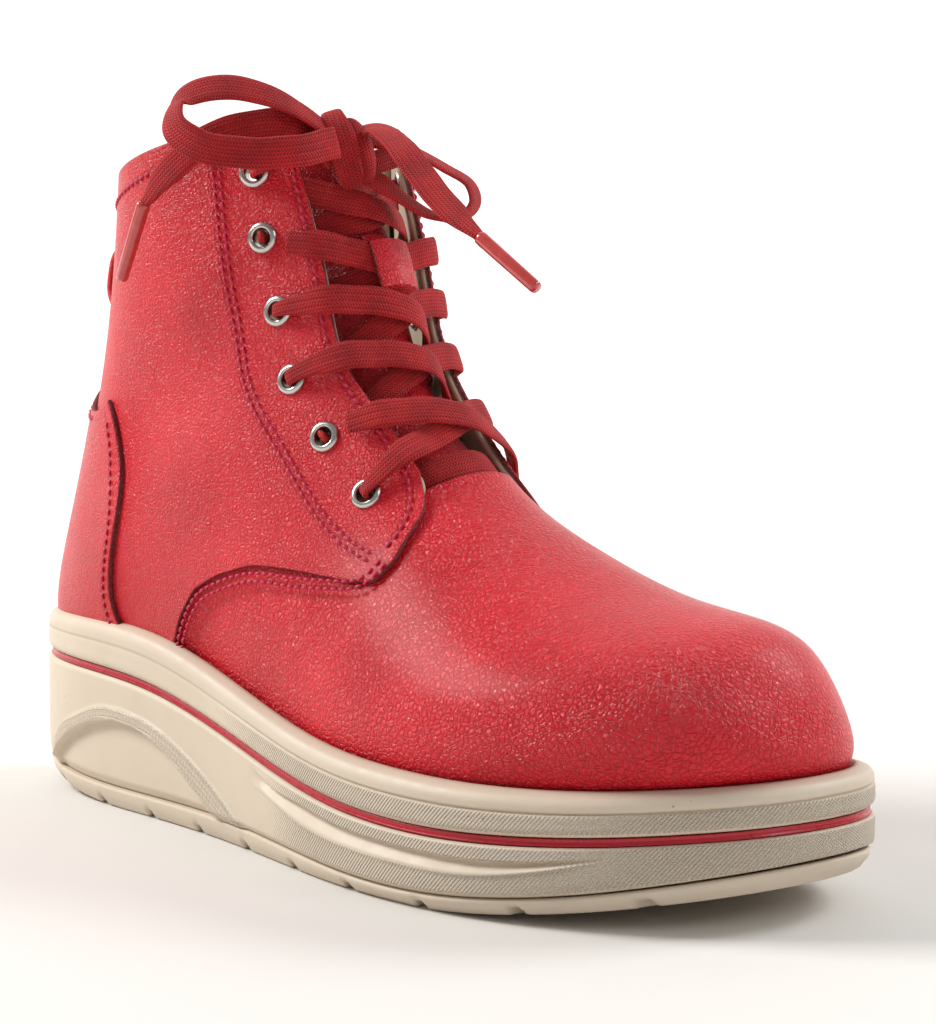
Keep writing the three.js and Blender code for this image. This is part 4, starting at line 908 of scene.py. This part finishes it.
thread = thread_red()
quarter_leather = leather("quarter_leather", cells=860.0, relief=0.00034, rough=0.32)
quarter_s = spaced(236, 140.0)[:, None]
quarter_t = spaced(206, 130.0)[None]
for side, word in ((-1, "outer"), (1, "inner")):
    nominal = 26 + 154 * quarter_t + 0 * quarter_s
    floor_u = np.maximum(low_edge(nominal[0]), np.where(nominal[0] > 85, tuck_u(nominal[0]), 0))[None]
    qu = floor_u + (1 - floor_u) * quarter_s
    qd = FRONT_EDGE(qu) + (nominal - 26) / 154 * (180 - FRONT_EDGE(qu))
    stay = side * np.array([60.5, 60.5, 61, 57.5, 54.5, 56, 54.5, 52])
    rows = [seam_line([.992, .958, .85, .753, .603, .52, .47, .446], stay, s) for s in (-1.0, 1.0)]
    rows.append(seam_line([.992, .897, .81, .672, .578, .51, .485, .468, .457, .448, .444],
                          side * np.array([33.2, 33.7, 34.2, 33, 31.8, 29.6, 30.6, 34, 38.5, 45, 50])))
    sweep = np.array([50, 56, 61.5, 69, 79, 88, 95.5, 106, 115, 121])
    lift = np.array([.445, .441, .452, .4755, .51, .527, .535, .53, .522, .514])
    rows += [seam_line(lift, side * sweep, -side * s) for s in (1.9, 4.0)]
    rows.append(seam_line(np.full(12, 0.978), side * np.linspace(34, 179, 12)))
    panel = shell("quarter_" + word + "_upper", qu, side * qd, Q_OUT, Q_IN, quarter_leather,
                  hole=eyelet_holes(qu, side * qd, side, 1.0, EYE_BORE + 0.75), lines=[r[0] for r in rows])
    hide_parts("quarter_" + word)
    stitches("seam_stitches_" + word, rows, thread)

# ------------------------------------------------------------------ heel patch
# A second layer of the same leather wrapped round the heel, its raw dark edge
# standing proud of the quarters, sewn by one row of thread just inside the edge.
PATCH_IN, PATCH_OUT = 1.55, 3.3
PATCH_EDGE = spline([.5, .583, .628, .685, .772, .823, .87], [127, 119.5, 106, 96, 99.5, 110, 128])
patch_s, patch_t = spaced(170, 105.0)[:, None], (spaced(230, 130.0) * 2 - 1)[None]


def patch_top(share):
    """The patch's upper edge: highest in the middle, falling towards both sides."""
    return 0.872 - 0.05 * ease(0.45, 1, np.abs(share))


patch_low = last_true(lambda u: level(u, 180 - (180 - PATCH_EDGE(u)) * np.abs(patch_t)) <= 0,
                      np.full_like(patch_t, 0.5), np.full_like(patch_t, 0.82))
patch_u = patch_low + (patch_top(patch_t) - patch_low) * patch_s
patch_d = 180 + (180 - PATCH_EDGE(patch_u)) * patch_t
front_degs = np.array([122.5, 119.5, 106, 96, 99.5, 105.5]) + 3.4
front_rows = [seam_line([.565, .583, .628, .685, .772, .81], side * front_degs, off=PATCH_OUT)
              for side in (-1, 1)]
top_share = np.linspace(-0.84, 0.84, 15)
top_u = patch_top(top_share) - 0.009
front_rows.append(seam_line(top_u, 180 + (180 - PATCH_EDGE(top_u)) * top_share, off=PATCH_OUT))
patch = shell("heel_cover", patch_u, patch_d, PATCH_OUT, PATCH_IN, quarter_leather,
              lines=[r[0] for r in front_rows])
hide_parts("heel_patch")
stitches("heel_stitches", front_rows, thread)

# ------------------------------------------------------------------ linings
# Beige textile lining inside the quarters, padded at the collar, and the beige
# backing of the eyelet stays that shows along their cut edges.
def cloth(name, light=(0.5, 0.41, 0.32), dark=(0.36, 0.28, 0.21), cells=1500.0, rough=0.85):
    """Brushed lining cloth with a fine woven grain."""
    made, tree, shader, at = finish(name)
    weave = node(tree, "ShaderNodeTexVoronoi", Vector=at, Scale=cells).outputs["Distance"]
    tone = blend_colours(tree, ramp(tree, noise(tree, at, 70.0, 4.0), 0.3, 0.7), dark, light)
    tree.links.new(tone, shader.inputs["Base Color"])
    tree.links.new(ramp(tree, weave, 0, 0.6, rough - 0.1, rough + 0.08), shader.inputs["Roughness"])
    shader.inputs["Sheen Weight"].default_value = 0.3
    tree.links.new(bump(tree, weave, 0.5, 0.0002), shader.inputs["Normal"])
    return made


lining_cloth = cloth("lining_cloth")
backing = cloth("stay_backing", (0.56, 0.43, 0.31), (0.42, 0.31, 0.22), 1900.0, 0.7)
for side, word in ((-1, "outer"), (1, "inner")):
    ls, lt = spaced(110, 130.0)[:, None], spaced(110, 110.0)[None]
    nominal = 62 + 118 * lt + 0 * ls
    hem = np.interp(nominal[0], [62, 80, 110, 180], [.565, .57, .56, .53])
    start = np.maximum(tuck_u(nominal[0]), hem)[None]
    lu = start + (0.998 - start) * ls
    bulge = ease(0.8, 0.9, lu) * (1 - ease(0.94, 1.0, lu))
    lining = shell("lining_" + word, lu, side * nominal, -1.9 + 2.1 * ease(0.9, 0.985, lu), -3.0 - bulge,
                   lining_cloth)
    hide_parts("quarter_lining_" + word, "quarter_padding_" + word)
    fs, ft = spaced(130, 140.0)[:, None], spaced(40, 26.0)[None]
    fu = 0.462 + 0.53 * fs + 0 * ft
    front = FRONT_EDGE(fu) + 0.1 + 5.0 * (1 - ease(0.455, 0.487, fu))
    fd = front + (61.5 - front) * ft
    stay = shell("stay_backing_" + word, fu, side * fd, 0.28, -1.3, backing,
                 hole=eyelet_holes(fu, side * fd, side, -0.8, EYE_BORE + 0.8))
    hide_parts("facing_lining_" + word)

# ------------------------------------------------------------------ tongue
# A padded tongue of the same leather over foam and cloth, with a strap sewn on
# upright that keeps the laces in the middle.
TONGUE_OFF = spline([.468, .5, .53, .6, .8, .95, 1], [-3.7, -4.4, -5.8, -6.8, -7.4, -6.8, -6.2])
TONGUE_HALF = spline([.468, .53, .62, .8, 1], [20, 30, 37, 40, 41])
ts, tt = spaced(190, 150.0)[:, None], (spaced(110, 60.0) * 2 - 1)[None]
rise = np.abs(tt)
tu = 0.468 + (0.968 - 0.012 * rise**4 - 0.468) * ts
td = tt * TONGUE_HALF(tu) * (1 - 0.35 * ease(0.86, 1, tu) ** 2)
tongue_leather = leather("tongue_leather", cells=900.0, relief=0.00035, rough=0.3)
tongue = shell("tongue_face", tu, td, TONGUE_OFF(tu), TONGUE_OFF(tu) - 1.5, tongue_leather, "tongue")
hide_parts("tongue_leather")
padding = shell("tongue_padding", 0.472 + (tu - 0.468) * 0.985, td * 0.985, TONGUE_OFF(tu) - 1.2,
                TONGUE_OFF(tu) - 6.4, lining_cloth, "tongue", soft=2.4)
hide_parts("tongue_foam", "tongue_lining")
KEEPER_RISE = spline([-1, -.88, -.78, -.64, 0, .64, .78, .88, 1], [.15, .2, .7, 4.6, 4.9, 4.6, .7, .2, .15])
ks, kt = np.linspace(-1, 1, 120)[:, None], np.linspace(-1, 1, 34)[None]
ku = .75 + .0615 * ks + 0 * kt
wide = last_curve(ku)
keep_y = 7.0 * kt * (1 - 0.03 * np.abs(ks))
kd = np.degrees(np.arcsin(np.clip(keep_y / np.where(kt < 0, wide[..., 4], wide[..., 5]), -1, 1)))
keep_off = TONGUE_OFF(ku) + np.clip(KEEPER_RISE(ks), .1, 4.95) + 0.1 * np.sin(ks * 9) * (1 - np.abs(ks))
keeper = shell("lace_keeper", ku, kd, keep_off + 1.1, keep_off, tongue_leather, "tongue")
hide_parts("tongue_keeper")

# ------------------------------------------------------------------ pull strap
# A folded strip of leather sewn to the back of the collar as a finger loop, with a
# small blank plate of brushed metal riveted to it.
STRAP = [(155.5, 2.2), (155.8, 8), (153.5, 13.2), (150, 15.6), (145, 16.2), (140, 15.6), (136.5, 13.2),
         (134.2, 8), (134.5, 2.2)]


def back_at(z, off):
    """The point of the back seam at a height, standing off by off."""
    return skin(last_true(lambda u: on_last(u, 180.0)[..., 2] < z, 0.66, 1.0), 180.0, off)


def square(value, power):
    """A value's size raised to a power, with its sign kept: low powers square a circle off."""
    return np.sign(value) * np.abs(value) ** power


def capped(grid):
    """A tube's grid with both ends drawn together to a point."""
    ends = [end.mean(1, keepdims=True) + 0 * end for end in (grid[:1], grid[-1:])]
    return np.concatenate([ends[0], grid, ends[1]])


strap_line = np.array([back_at(z, off) for z, off in STRAP])
run = length_along(strap_line)
strap_path = spline(run, strap_line)(np.linspace(0, run[-1], 90))
strap_tan = unit(np.gradient(strap_path, axis=0))
strap_nor = np.cross(strap_tan, [0, 1.0, 0])
turn = np.linspace(0, 2 * np.pi, 56, endpoint=False)
ring_y = 9.0 * square(np.cos(turn), 0.28)
ring_n = 1.3 * square(np.sin(turn), 0.62)
inward = np.sign(((strap_path.mean(0) - strap_path)[45] * strap_nor[45]).sum())
strap_mid = strap_path + strap_nor * inward * 1.3
strap_grid = capped(strap_mid[:, None] + ring_y[:, None] * np.array([0, 1.0, 0])
                    + ring_n[:, None] * strap_nor[:, None])
strap_edge = 9.8 - np.abs(ring_y)[None] + 0 * strap_grid[..., 0]
strap = piece("pull_loop", strap_grid, [grid_faces(*strap_grid.shape[:2], wrap_j=True)],
              masks={"edge_mm": strap_edge, "seam_mm": np.abs(strap_edge - 2.8), "inside": 0 * strap_edge},
              material=quarter_leather, weld=0.004)
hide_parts("pull_strap")


def metal(name, tint=(0.62, 0.6, 0.57), rough=0.24):
    """Nickel-plated metal, faintly brushed and rubbed."""
    made, tree, shader, at = finish(name)
    worn = noise(tree, at, 420.0, 4.0)
    tone = blend_colours(tree, worn, tuple(0.8 * c for c in tint), tint)
    tree.links.new(tone, shader.inputs["Base Color"])
    shader.inputs["Metallic"].default_value = 1.0
    tree.links.new(ramp(tree, worn, 0.3, 0.7, rough - 0.06, rough + 0.1), shader.inputs["Roughness"])
    tree.links.new(bump(tree, noise(tree, at, 1500.0), 0.1, 0.0001), shader.inputs["Normal"])
    return made


nickel = metal("nickel")
top_end, low_end = back_at(149, 16.1), back_at(141, 16.1)
plate_up, plate_out = unit(top_end - low_end), unit(np.cross([0, 1.0, 0], unit(top_end - low_end)))
plate_out = plate_out * np.sign(plate_out[0]) * -1
corner = np.linspace(0, 2 * np.pi, 64, endpoint=False)
plate_y, plate_z = 6.0 * square(np.cos(corner), 0.25), 4.0 * square(np.sin(corner), 0.25)
levels = [(0.0, 0.0), (1.0, 0.0), (1.0, 0.62), (0.96, 0.78), (0.9, 0.8), (0.0, 0.8)]
plate_mid = (top_end + low_end) / 2
plate_rim = plate_y[:, None] * np.array([0, 1.0, 0]) + plate_z[:, None] * plate_up
plate_grid = np.stack([plate_mid + f * plate_rim + h * plate_out for f, h in levels])
plate = piece("pull_plate", plate_grid, [grid_faces(len(levels), 64, wrap_j=True)], material=nickel,
              weld=0.002)
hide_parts("strap_plate")

# ------------------------------------------------------------------ eyelets
# Twelve two-part rolled eyelets: domed ring in front, barrel through the leather and
# its backing, curled flange behind.
EYE_PROFILE = [(2.35, 2.0), (2.4, 2.35), (2.6, 2.62), (2.95, 2.72), (3.4, 2.6), (3.8, 2.3), (4.05, 1.95),
               (4.02, 1.7), (3.85, 1.66), (2.66, 1.66), (2.66, -1.3), (3.7, -1.32), (3.82, -1.55),
               (3.6, -1.95), (3.1, -2.15), (2.6, -2.12), (2.37, -1.8), (2.35, 0.0)]


def turned(foot, axis, profile):
    """Rings round an axis from a profile of radii and heights, as turned on a lathe."""
    spin = np.linspace(0, 2 * np.pi, 56, endpoint=False)[:, None]
    first = unit(np.cross(axis, [0, 0, 1.0]))
    wheel = np.cos(spin) * first + np.sin(spin) * np.cross(axis, first)
    return np.stack([foot + r * wheel + h * axis for r, h in profile])


for side, word in ((-1, "outer"), (1, "inner")):
    for k in range(6):
        at = EYE_U[k], side * EYE_DEG[k]
        ring = turned(on_last(*at), outward(*at), EYE_PROFILE)
        eyelet = piece(f"eyelet_ring_{word}_{k + 1}", ring,
                       [grid_faces(len(EYE_PROFILE), 56, wrap_i=True, wrap_j=True)],
                       material=nickel, weld=0.001)
        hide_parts(f"eyelet_{word}_{k + 1}")

# ------------------------------------------------------------------ laces
# One flat woven cotton lace, dark brick red, criss-crossed through the eyelets and
# under the keeper; each strand lies flat and passes over or under the next.
LACE_W, HOLE_W, LACE_T = 7.6, 3.4, 1.5
OUTER, INNER = -1, 1


def fan(e):
    """Angles of a crossing's knots, from behind the eyelet's edge to the ridge."""
    return [e + 9, e + 1, e - 3.5, e - 9, (e - 9) * .66, (e - 9) * .33, 0]


def crossing(side, row_a, row_b, u_mid, start, finish_off):
    """Knots of a strand from one side's row to the other side's row."""
    ua, ub = EYE_U[row_a], EYE_U[row_b]
    knots = []

    def put(s, off, w):
        """Adds a knot at s, -1 on one side and 1 on the other, off above the last, w wide."""
        t, bow_up = (s + 1) / 2, 1 - s * s
        u = ua + (ub - ua) * t + (u_mid - (ua + ub) / 2) * bow_up
        deg = side * EYE_DEG[row_a if s < 0 else row_b] * -s
        knots.append((skin(u, deg, off), outward(u, deg), w))

    for k, d in enumerate(fan(float(FRONT_EDGE(ua)))):
        put(-d / EYE_DEG[row_a], start[k], 5.0 if k == 0 else LACE_W)
    for k, d in list(enumerate(fan(float(FRONT_EDGE(ub)))))[5::-1]:
        put(d / EYE_DEG[row_b], finish_off[k], 5.0 if k == 0 else LACE_W)
    return knots


def in_hole(side, row, first, last):
    """Knots of a strand going through an eyelet."""
    u, deg = EYE_U[row], side * EYE_DEG[row]
    up = unit(on_last(u + 1e-3, deg) - on_last(u - 1e-3, deg))
    flat = unit(np.cross(up, outward(u, deg))) * side
    return [(skin(u, deg, off), flat, HOLE_W) for off in (first, (first + last) / 2, last)]


KNOT = np.array([-9.0, -4.0, 177.0])
PER_KNOT = 12


def to_knot(side):
    """Knots of a strand from the bow down to the first eyelet."""
    start = [(KNOT + [-1.5, side * 6.4, -2.5], unit(np.array([1, side * .4, 0])), 6.2)]
    return start + [(skin(.935, side * d, off), outward(.935, side * d), w)
                    for d, off, w in ((22, 4.9, 6.6), (31, 4.1, 6.2), (40, 4.0, 5.0))]


def catmull(points, count):
    """Centripetal Catmull-Rom curve through points, sampled evenly by knot."""
    p = np.asarray(points, float)
    p = np.concatenate([[2 * p[0] - p[1]], p, [2 * p[-1] - p[-2]]])
    gap = np.maximum(np.linalg.norm(np.diff(p, axis=0), axis=1), 1e-4) ** 0.5
    f = np.linspace(0, len(points) - 1, count)
    k = np.minimum(f.astype(int), len(points) - 2)
    t0 = np.zeros_like(f)
    t1, t2 = gap[k], gap[k] + gap[k + 1]
    t3 = t2 + gap[k + 2]
    t = t1 + (f - k) * (t2 - t1)

    def mix(a, b, ta, tb):
        """Straight blend from a at ta to b at tb."""
        return ((tb - t) / (tb - ta))[:, None] * a + ((t - ta) / (tb - ta))[:, None] * b

    a1, a2, a3 = mix(p[k], p[k + 1], t0, t1), mix(p[k + 1], p[k + 2], t1, t2), mix(p[k + 2], p[k + 3], t2, t3)
    return mix(mix(a1, a2, t0, t2), mix(a2, a3, t1, t3), t1, t2), f


def woven_ribbon(name, knots, thick=LACE_T, body="boot", material=None):
    """A flat lace along knots of point, face normal and width, with rounded thin edges."""
    line, f = catmull([k[0] for k in knots], (len(knots) - 1) * PER_KNOT + 1)
    tan = unit(np.gradient(line, axis=0))
    # each knot's normal is flipped if it faces away from the last one carried along
    normals, last = [], None
    for spot, (_, n, _) in enumerate(knots):
        n = np.asarray(n, float)
        if last is not None and (n * last).sum() < 0:
            n = -n
        t = tan[spot * PER_KNOT]
        last = unit(n - t * (n * t).sum())
        normals.append(n)
        if spot + 1 < len(knots):
            t2 = tan[(spot + 1) * PER_KNOT]
            axis = np.cross(t, t2)
            sin, cos = np.linalg.norm(axis), (t * t2).sum()
            if sin > 1e-9:
                axis = axis / sin
                last = last * cos + np.cross(axis, last) * sin + axis * (axis * last).sum() * (1 - cos)
    spots = np.arange(len(knots))
    nor = resample(f, spots, np.array(normals))
    nor = unit(nor - tan * (nor * tan).sum(-1, keepdims=True))
    width = np.interp(f, spots, [k[2] for k in knots])[:, None]
    side_dir = np.cross(tan, nor)
    turn = np.linspace(0, 2 * np.pi, 28, endpoint=False)
    y = square(np.cos(turn), 0.55) * width / 2
    z = square(np.sin(turn), 0.8) * thick / 2 + 0 * y
    run = length_along(line)
    wobble = 0.10 * np.sin(run / 1.9)[:, None] * (np.abs(y) / (width / 2)) ** 4
    grid = line[:, None] + (y + wobble)[..., None] * side_dir[:, None] + z[..., None] * nor[:, None]
    uv = np.stack([y + 4.0, run[:, None] + 0 * y], -1)
    grid, uv = capped(grid), np.concatenate([uv[:1], uv, uv[-1:]])
    made = piece(name, grid, [grid_faces(*grid.shape[:2], flip=True, wrap_j=True)], body, uv=uv,
                 material=material, weld=0.002)
    return made, line, run


# weave: two slanting sets of yarns that meet in the middle of the lace
weave_tree, weave_in, weave_out = group(
    "flat_weave",
    [("UV", "NodeSocketVector", None), ("Yarns", "NodeSocketFloat", 1.25)],
    [("Height", "NodeSocketFloat"), ("Gap", "NodeSocketFloat")],
)
apart = node(weave_tree, "ShaderNodeSeparateXYZ", Vector=weave_in.outputs["UV"])
folded = maths(weave_tree, "PINGPONG", apart.outputs["X"], 0.95)
lean = maths(weave_tree, "ADD", apart.outputs["Y"], times(weave_tree, folded, 0.8))
wave_turns = times(weave_tree, weave_in.outputs["Yarns"], 6.2832)
wave = maths(weave_tree, "SINE", times(weave_tree, lean, wave_turns))
cross = maths(weave_tree, "SINE", times(weave_tree, apart.outputs["X"], 6.6139))
yarn = maths(weave_tree, "ADD", times(weave_tree, wave, 0.6), times(weave_tree, cross, 0.4))
yarn_height = ramp(weave_tree, yarn, -1, 1)
weave_tree.links.new(yarn_height, weave_out.inputs["Height"])
weave_tree.links.new(ramp(weave_tree, yarn_height, 0.1, 0.5, 1.0, 0.0), weave_out.inputs["Gap"])


def lace_cotton():
    """Cotton lace: matte brick red, with painted shade between its yarns, fuzzy at the edges."""
    made, tree, shader, at = finish("lace_cotton")
    along_lace = node(tree, "ShaderNodeUVMap", _uv_map="UVMap").outputs["UV"]
    weave = use_group(tree, weave_tree, UV=along_lace)
    tone = blend_colours(tree, ramp(tree, noise(tree, at, 130.0, 3.0), 0.3, 0.7),
                         (0.36, 0.006, 0.011), (0.56, 0.013, 0.016))
    # painted shade: near black in the gaps between the yarns
    tone = blend_colours(tree, times(tree, weave["Gap"], 0.75), tone, (0.07, 0.003, 0.004))
    lint = ramp(tree, noise(tree, at, 3800.0), 0.6, 0.75, 0.0, 0.3)
    tone = blend_colours(tree, lint, tone, (0.7, 0.05, 0.05))
    shader.inputs["Specular IOR Level"].default_value = 0.3
    tree.links.new(tone, shader.inputs["Base Color"])
    tree.links.new(ramp(tree, weave["Height"], 0, 1, 0.85, 0.62), shader.inputs["Roughness"])
    shader.inputs["Sheen Weight"].default_value = 0.08
    shader.inputs["Sheen Tint"].default_value = (1, 0.5, 0.45, 1)
    fuzz = bump(tree, noise(tree, at, 2600.0, 2.0), 0.4, 0.0002)
    tree.links.new(bump(tree, weave["Height"], 0.9, 0.0003, fuzz), shader.inputs["Normal"])
    return made


cotton = lace_cotton()
# heights of the knots from the leather's edge to the ridge, over or under the other strand
OUT_OVER, OUT_UNDER = [4, 3.8, 2.8, .4, -.8, -1.3, -1.4], [4, 3.8, 1.8, -1.4, -4, -4.4, -4.4]
IN_OVER, IN_UNDER = [-3.9, -3.7, -3.5, -3.2, -2.2, -1.5, -1.4], [-3.9, -3.8, -4, -4.2, -4.3, -4.4, -4.4]
KEPT_OVER, KEPT_OVER_IN = [4, 3.8, 2.2, -1, -3, -3.5, -3.6], [-3.9, -3.7, -3.6, -3.5, -3.5, -3.5, -3.6]
KEPT_UNDER, KEPT_UNDER_IN = [4, 3.8, 1.6, -2.6, -5.3, -5.6, -5.6], [-3.9, -3.9, -4.5, -5.2, -5.5, -5.6, -5.6]
TOE_OVER, TOE_UNDER = [4, 4, 3.4, 2.8, 2.5, 2.4, 2.4], [4, 4, 2.8, .8, .3, .1, .1]
TOP_OVER, TOP_UNDER = [-3.6, -3.4, -3.3, -2.9, -2.6, -2.3, -2.2], [-3.6, -3.8, -4.2, -4.6, -4.8, -4.9, -4.9]
BAR = [-3.6, -3.2, -2.8, -2.4, -2.1, -1.9, -1.8]
DOWN, UP = (3, -2.8), (-2.8, 3)


def top_strand(side, heights):
    """From the bow through the first eyelet, inside the shaft and out at the second."""
    return (to_knot(side) + in_hole(side, 0, *DOWN) + crossing(side, 0, 1, .838, heights, heights)
            + in_hole(-side, 1, *UP))


def low_strand(side, first, second):
    """From the third eyelet across to the fourth and back across to the fifth."""
    return (in_hole(side, 2, *UP) + crossing(side, 2, 3, .672, *first) + in_hole(-side, 3, *UP)
            + crossing(-side, 3, 4, .6, *second) + in_hole(side, 4, *UP))


STRANDS = {
    "lace_top_outer": top_strand(OUTER, TOP_OVER),
    "lace_top_inner": top_strand(INNER, TOP_UNDER),
    "lace_keeper_outer": crossing(OUTER, 1, 2, .75, KEPT_OVER, KEPT_OVER_IN),
    "lace_keeper_inner": crossing(INNER, 1, 2, .75, KEPT_UNDER, KEPT_UNDER_IN),
    "lace_low_outer": low_strand(OUTER, (OUT_OVER, IN_OVER), (OUT_UNDER, IN_UNDER)),
    "lace_low_inner": low_strand(INNER, (OUT_UNDER, IN_UNDER), (OUT_OVER, IN_OVER)),
    "lace_toe_outer": crossing(OUTER, 4, 5, .527, TOE_OVER, TOE_OVER) + in_hole(INNER, 5, *DOWN),
    "lace_toe_inner": crossing(INNER, 4, 5, .527, TOE_UNDER, TOE_UNDER) + in_hole(OUTER, 5, *DOWN),
    "lace_bar": crossing(OUTER, 5, 5, .491, BAR, BAR),
}
for name, knots in STRANDS.items():
    kept = "keeper" in name
    strand, _, _ = woven_ribbon(name.replace("lace", "strand"), knots, body=None if kept else "boot",
                                material=cotton)
    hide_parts(name)
    if kept:
        tuple((skin(.8, 36.0, 0) - ORIGIN) / 1000 * [1, 0, 1])
        tuple((skin(.8, 14.0, 0) - ORIGIN) / 1000 * [1, 0, 1])
        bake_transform(strand)

# ------------------------------------------------------------------ bow
# The lace ends tied in a bow: a flat wrap round the middle, two loops and two free
# ends, each end crimped in a clear reddish plastic tip.
BOW_W = 8.0
# each knot is a place and the way the lace's face looks there
LOOP_OUTER = [
    ((-12, -10.5, 181.5), (.4, -.3, .8)), ((-15, -19, 187), (.4, -.4, .8)),
    ((-19.5, -29, 191), (.5, -.6, .6)), ((-25, -39, 191.5), (.3, -.9, .4)),
    ((-29.5, -46, 187.5), (-.2, -1, .1)), ((-27, -49, 181.5), (.3, -1, -.1)),
    ((-20.5, -46.5, 176.5), (.6, -.8, 0)), ((-12.5, -38.5, 174.5), (.7, -.7, 0)),
    ((-4.2, -27.5, 175.2), (.8, -.5, 0)), ((-3.2, -16, 178), (.9, -.3, 0)),
]
LOOP_INNER = [
    ((-11, -1, 180.6), (.7, .2, .5)), ((-7.5, 3.4, 180), (.8, .2, .5)), ((-2.5, 9, 177.5), (.7, .3, .6)),
    ((4, 14.5, 173), (.7, .3, .6)), ((9.5, 18.5, 168.5), (.8, .4, .3)), ((10.5, 19, 163.5), (.8, .4, -.4)),
    ((7.5, 15.5, 159.5), (.3, .2, -.9)), ((3, 9.5, 161), (-.4, 0, -.9)),
    ((-2.5, 4.5, 165.5), (-.6, -.1, -.7)), ((-6, 1, 169), (-.7, .1, -.6)),
    ((-10, -2.5, 171.5), (-.7, .1, -.6)),
]
END_OUTER = [
    ((-16.5, -9.5, 179.5), (.6, -.6, .3)), ((-16, -19.8, 183.2), (.7, -.6, .2)),
    ((-22, -29, 182.6), (.7, -.7, .2)), ((-28, -38.5, 178.6), (.5, -.8, .1)),
    ((-36.5, -43.5, 171.5), (.3, -.9, 0)), ((-46, -44.6, 163.5), (.2, -1, 0)),
]
END_INNER = [
    ((-10.5, -3.5, 182), (.6, -.2, .7)), ((-4, -2, 182.4), (.6, -.2, .7)), ((2.5, -3, 180), (.7, -.3, .6)),
    ((10, -4.8, 175.4), (.7, -.4, .6)), ((18, -5, 167.6), (.7, -.4, .5)), ((27.5, -5, 159.5), (.7, -.4, .6)),
    ((36.5, -4.2, 153), (.6, -.3, .7)),
]
AGLETS = {"outer": ((-46.5, -44.7, 162.6), (-57, -44.2, 144.4)),
          "inner": ((37.3, -4.1, 152.4), (54, -2.2, 140.2))}


def clear_plastic():
    """Clear reddish plastic rolled over the lace."""
    made, tree, shader, at = finish("clear_red_plastic")
    tone = blend_colours(tree, noise(tree, at, 500.0), (0.4, 0.02, 0.025), (0.62, 0.07, 0.06))
    tree.links.new(tone, shader.inputs["Base Color"])
    tree.links.new(ramp(tree, noise(tree, at, 900.0), 0.3, 0.7, 0.12, 0.26), shader.inputs["Roughness"])
    shader.inputs["Coat Weight"].default_value = 0.8
    tree.links.new(bump(tree, noise(tree, at, 1400.0), 0.3, 0.0001), shader.inputs["Normal"])
    return made


tip_plastic = clear_plastic()
for word, knots, loop in (("outer", LOOP_OUTER, True), ("inner", LOOP_INNER, True),
                          ("outer", END_OUTER, False), ("inner", END_INNER, False)):
    widths = [BOW_W * 0.8] + [BOW_W] * (len(knots) - 1)
    if not loop:
        widths[-1] = 3.0
    listed = [(np.array(p, float), unit(np.array(n, float)), w) for (p, n), w in zip(knots, widths)]
    name = ("bow_ribbon_" if loop else "free_end_") + word
    ribbon, line, run = woven_ribbon(name, listed, material=cotton)
    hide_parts(("bow_loop_" if loop else "lace_end_") + word)
    if not loop:
        start, end = (np.array(p) for p in AGLETS[word])
        axis = unit(end - start)
        long = np.linalg.norm(end - start)
        shape = [(0, -1.2), (1.5, -1.2), (1.78, -0.8), (1.8, 0), (1.72, long * 0.5), (1.62, long - 0.8),
                 (1.4, long), (0, long)]
        tip = piece("lace_tip_" + word, turned(start, axis, shape), [grid_faces(len(shape), 56, wrap_j=True)],
                    material=tip_plastic, weld=0.002)
        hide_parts("aglet_" + word)

wrap_turn = np.linspace(0, 2 * np.pi, 25)
wrap_up = unit(np.array([np.sin(np.radians(-18)), -np.sin(np.radians(8)), 1.0]))
wrap_out = unit(np.cross([0.66, 0.75, 0], wrap_up))
wrap_out = wrap_out * np.sign(wrap_out[0])
wrap_knots = [(KNOT + [-3.0, -2.6, 0.4] + 9.8 * np.cos(a) * wrap_up + 5.4 * np.sin(a) * wrap_out,
               unit(np.cos(a) * wrap_up * 0.45 + np.sin(a) * wrap_out),
               7.8 - 2.4 * np.cos(a) ** 2) for a in wrap_turn]
wrap, _, _ = woven_ribbon("bow_wrap", wrap_knots, thick=1.7, material=cotton)
lat, lon = np.linspace(0, np.pi, 24)[:, None], np.linspace(0, 2 * np.pi, 36, endpoint=False)[None]
core_side = np.cross(wrap_up, wrap_out)
core_grid = (KNOT + 9.0 * np.cos(lat)[..., None] * wrap_up
             + 4.2 * (np.sin(lat) * np.cos(lon))[..., None] * core_side
             + 3.9 * (np.sin(lat) * np.sin(lon))[..., None] * wrap_out)
core = piece("bow_core", core_grid, [grid_faces(24, 36, wrap_j=True)],
             uv=np.stack([lon * 4 + 0 * lat, lat * 9 + 0 * lon], -1), material=cotton, weld=0.002)
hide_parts("bow_knot")

# ------------------------------------------------------------------ hidden parts
# Board, steel shank, toe puff, heel stiffener, footbed and inner linings keep their
# plain shapes and take a plain finish each.
for names, made in (
    (("shank",), metal("steel_strip", (0.5, 0.5, 0.52), 0.35)),
    (("insole_board",), cloth("fibre_board", (0.52, 0.42, 0.28), (0.42, 0.33, 0.22), 900.0)),
    (("footbed",), cloth("footbed_cloth", (0.55, 0.46, 0.36), (0.42, 0.34, 0.26), 1300.0)),
    (("toe_puff", "heel_stiffener"), cloth("stiffener_felt", (0.6, 0.55, 0.45), (0.5, 0.45, 0.36), 800.0)),
    (("vamp_lining",), lining_cloth),
):
    for name in names:
        plain = bpy.data.objects[name]
        plain.data.materials.clear()
        plain.data.materials.append(made)
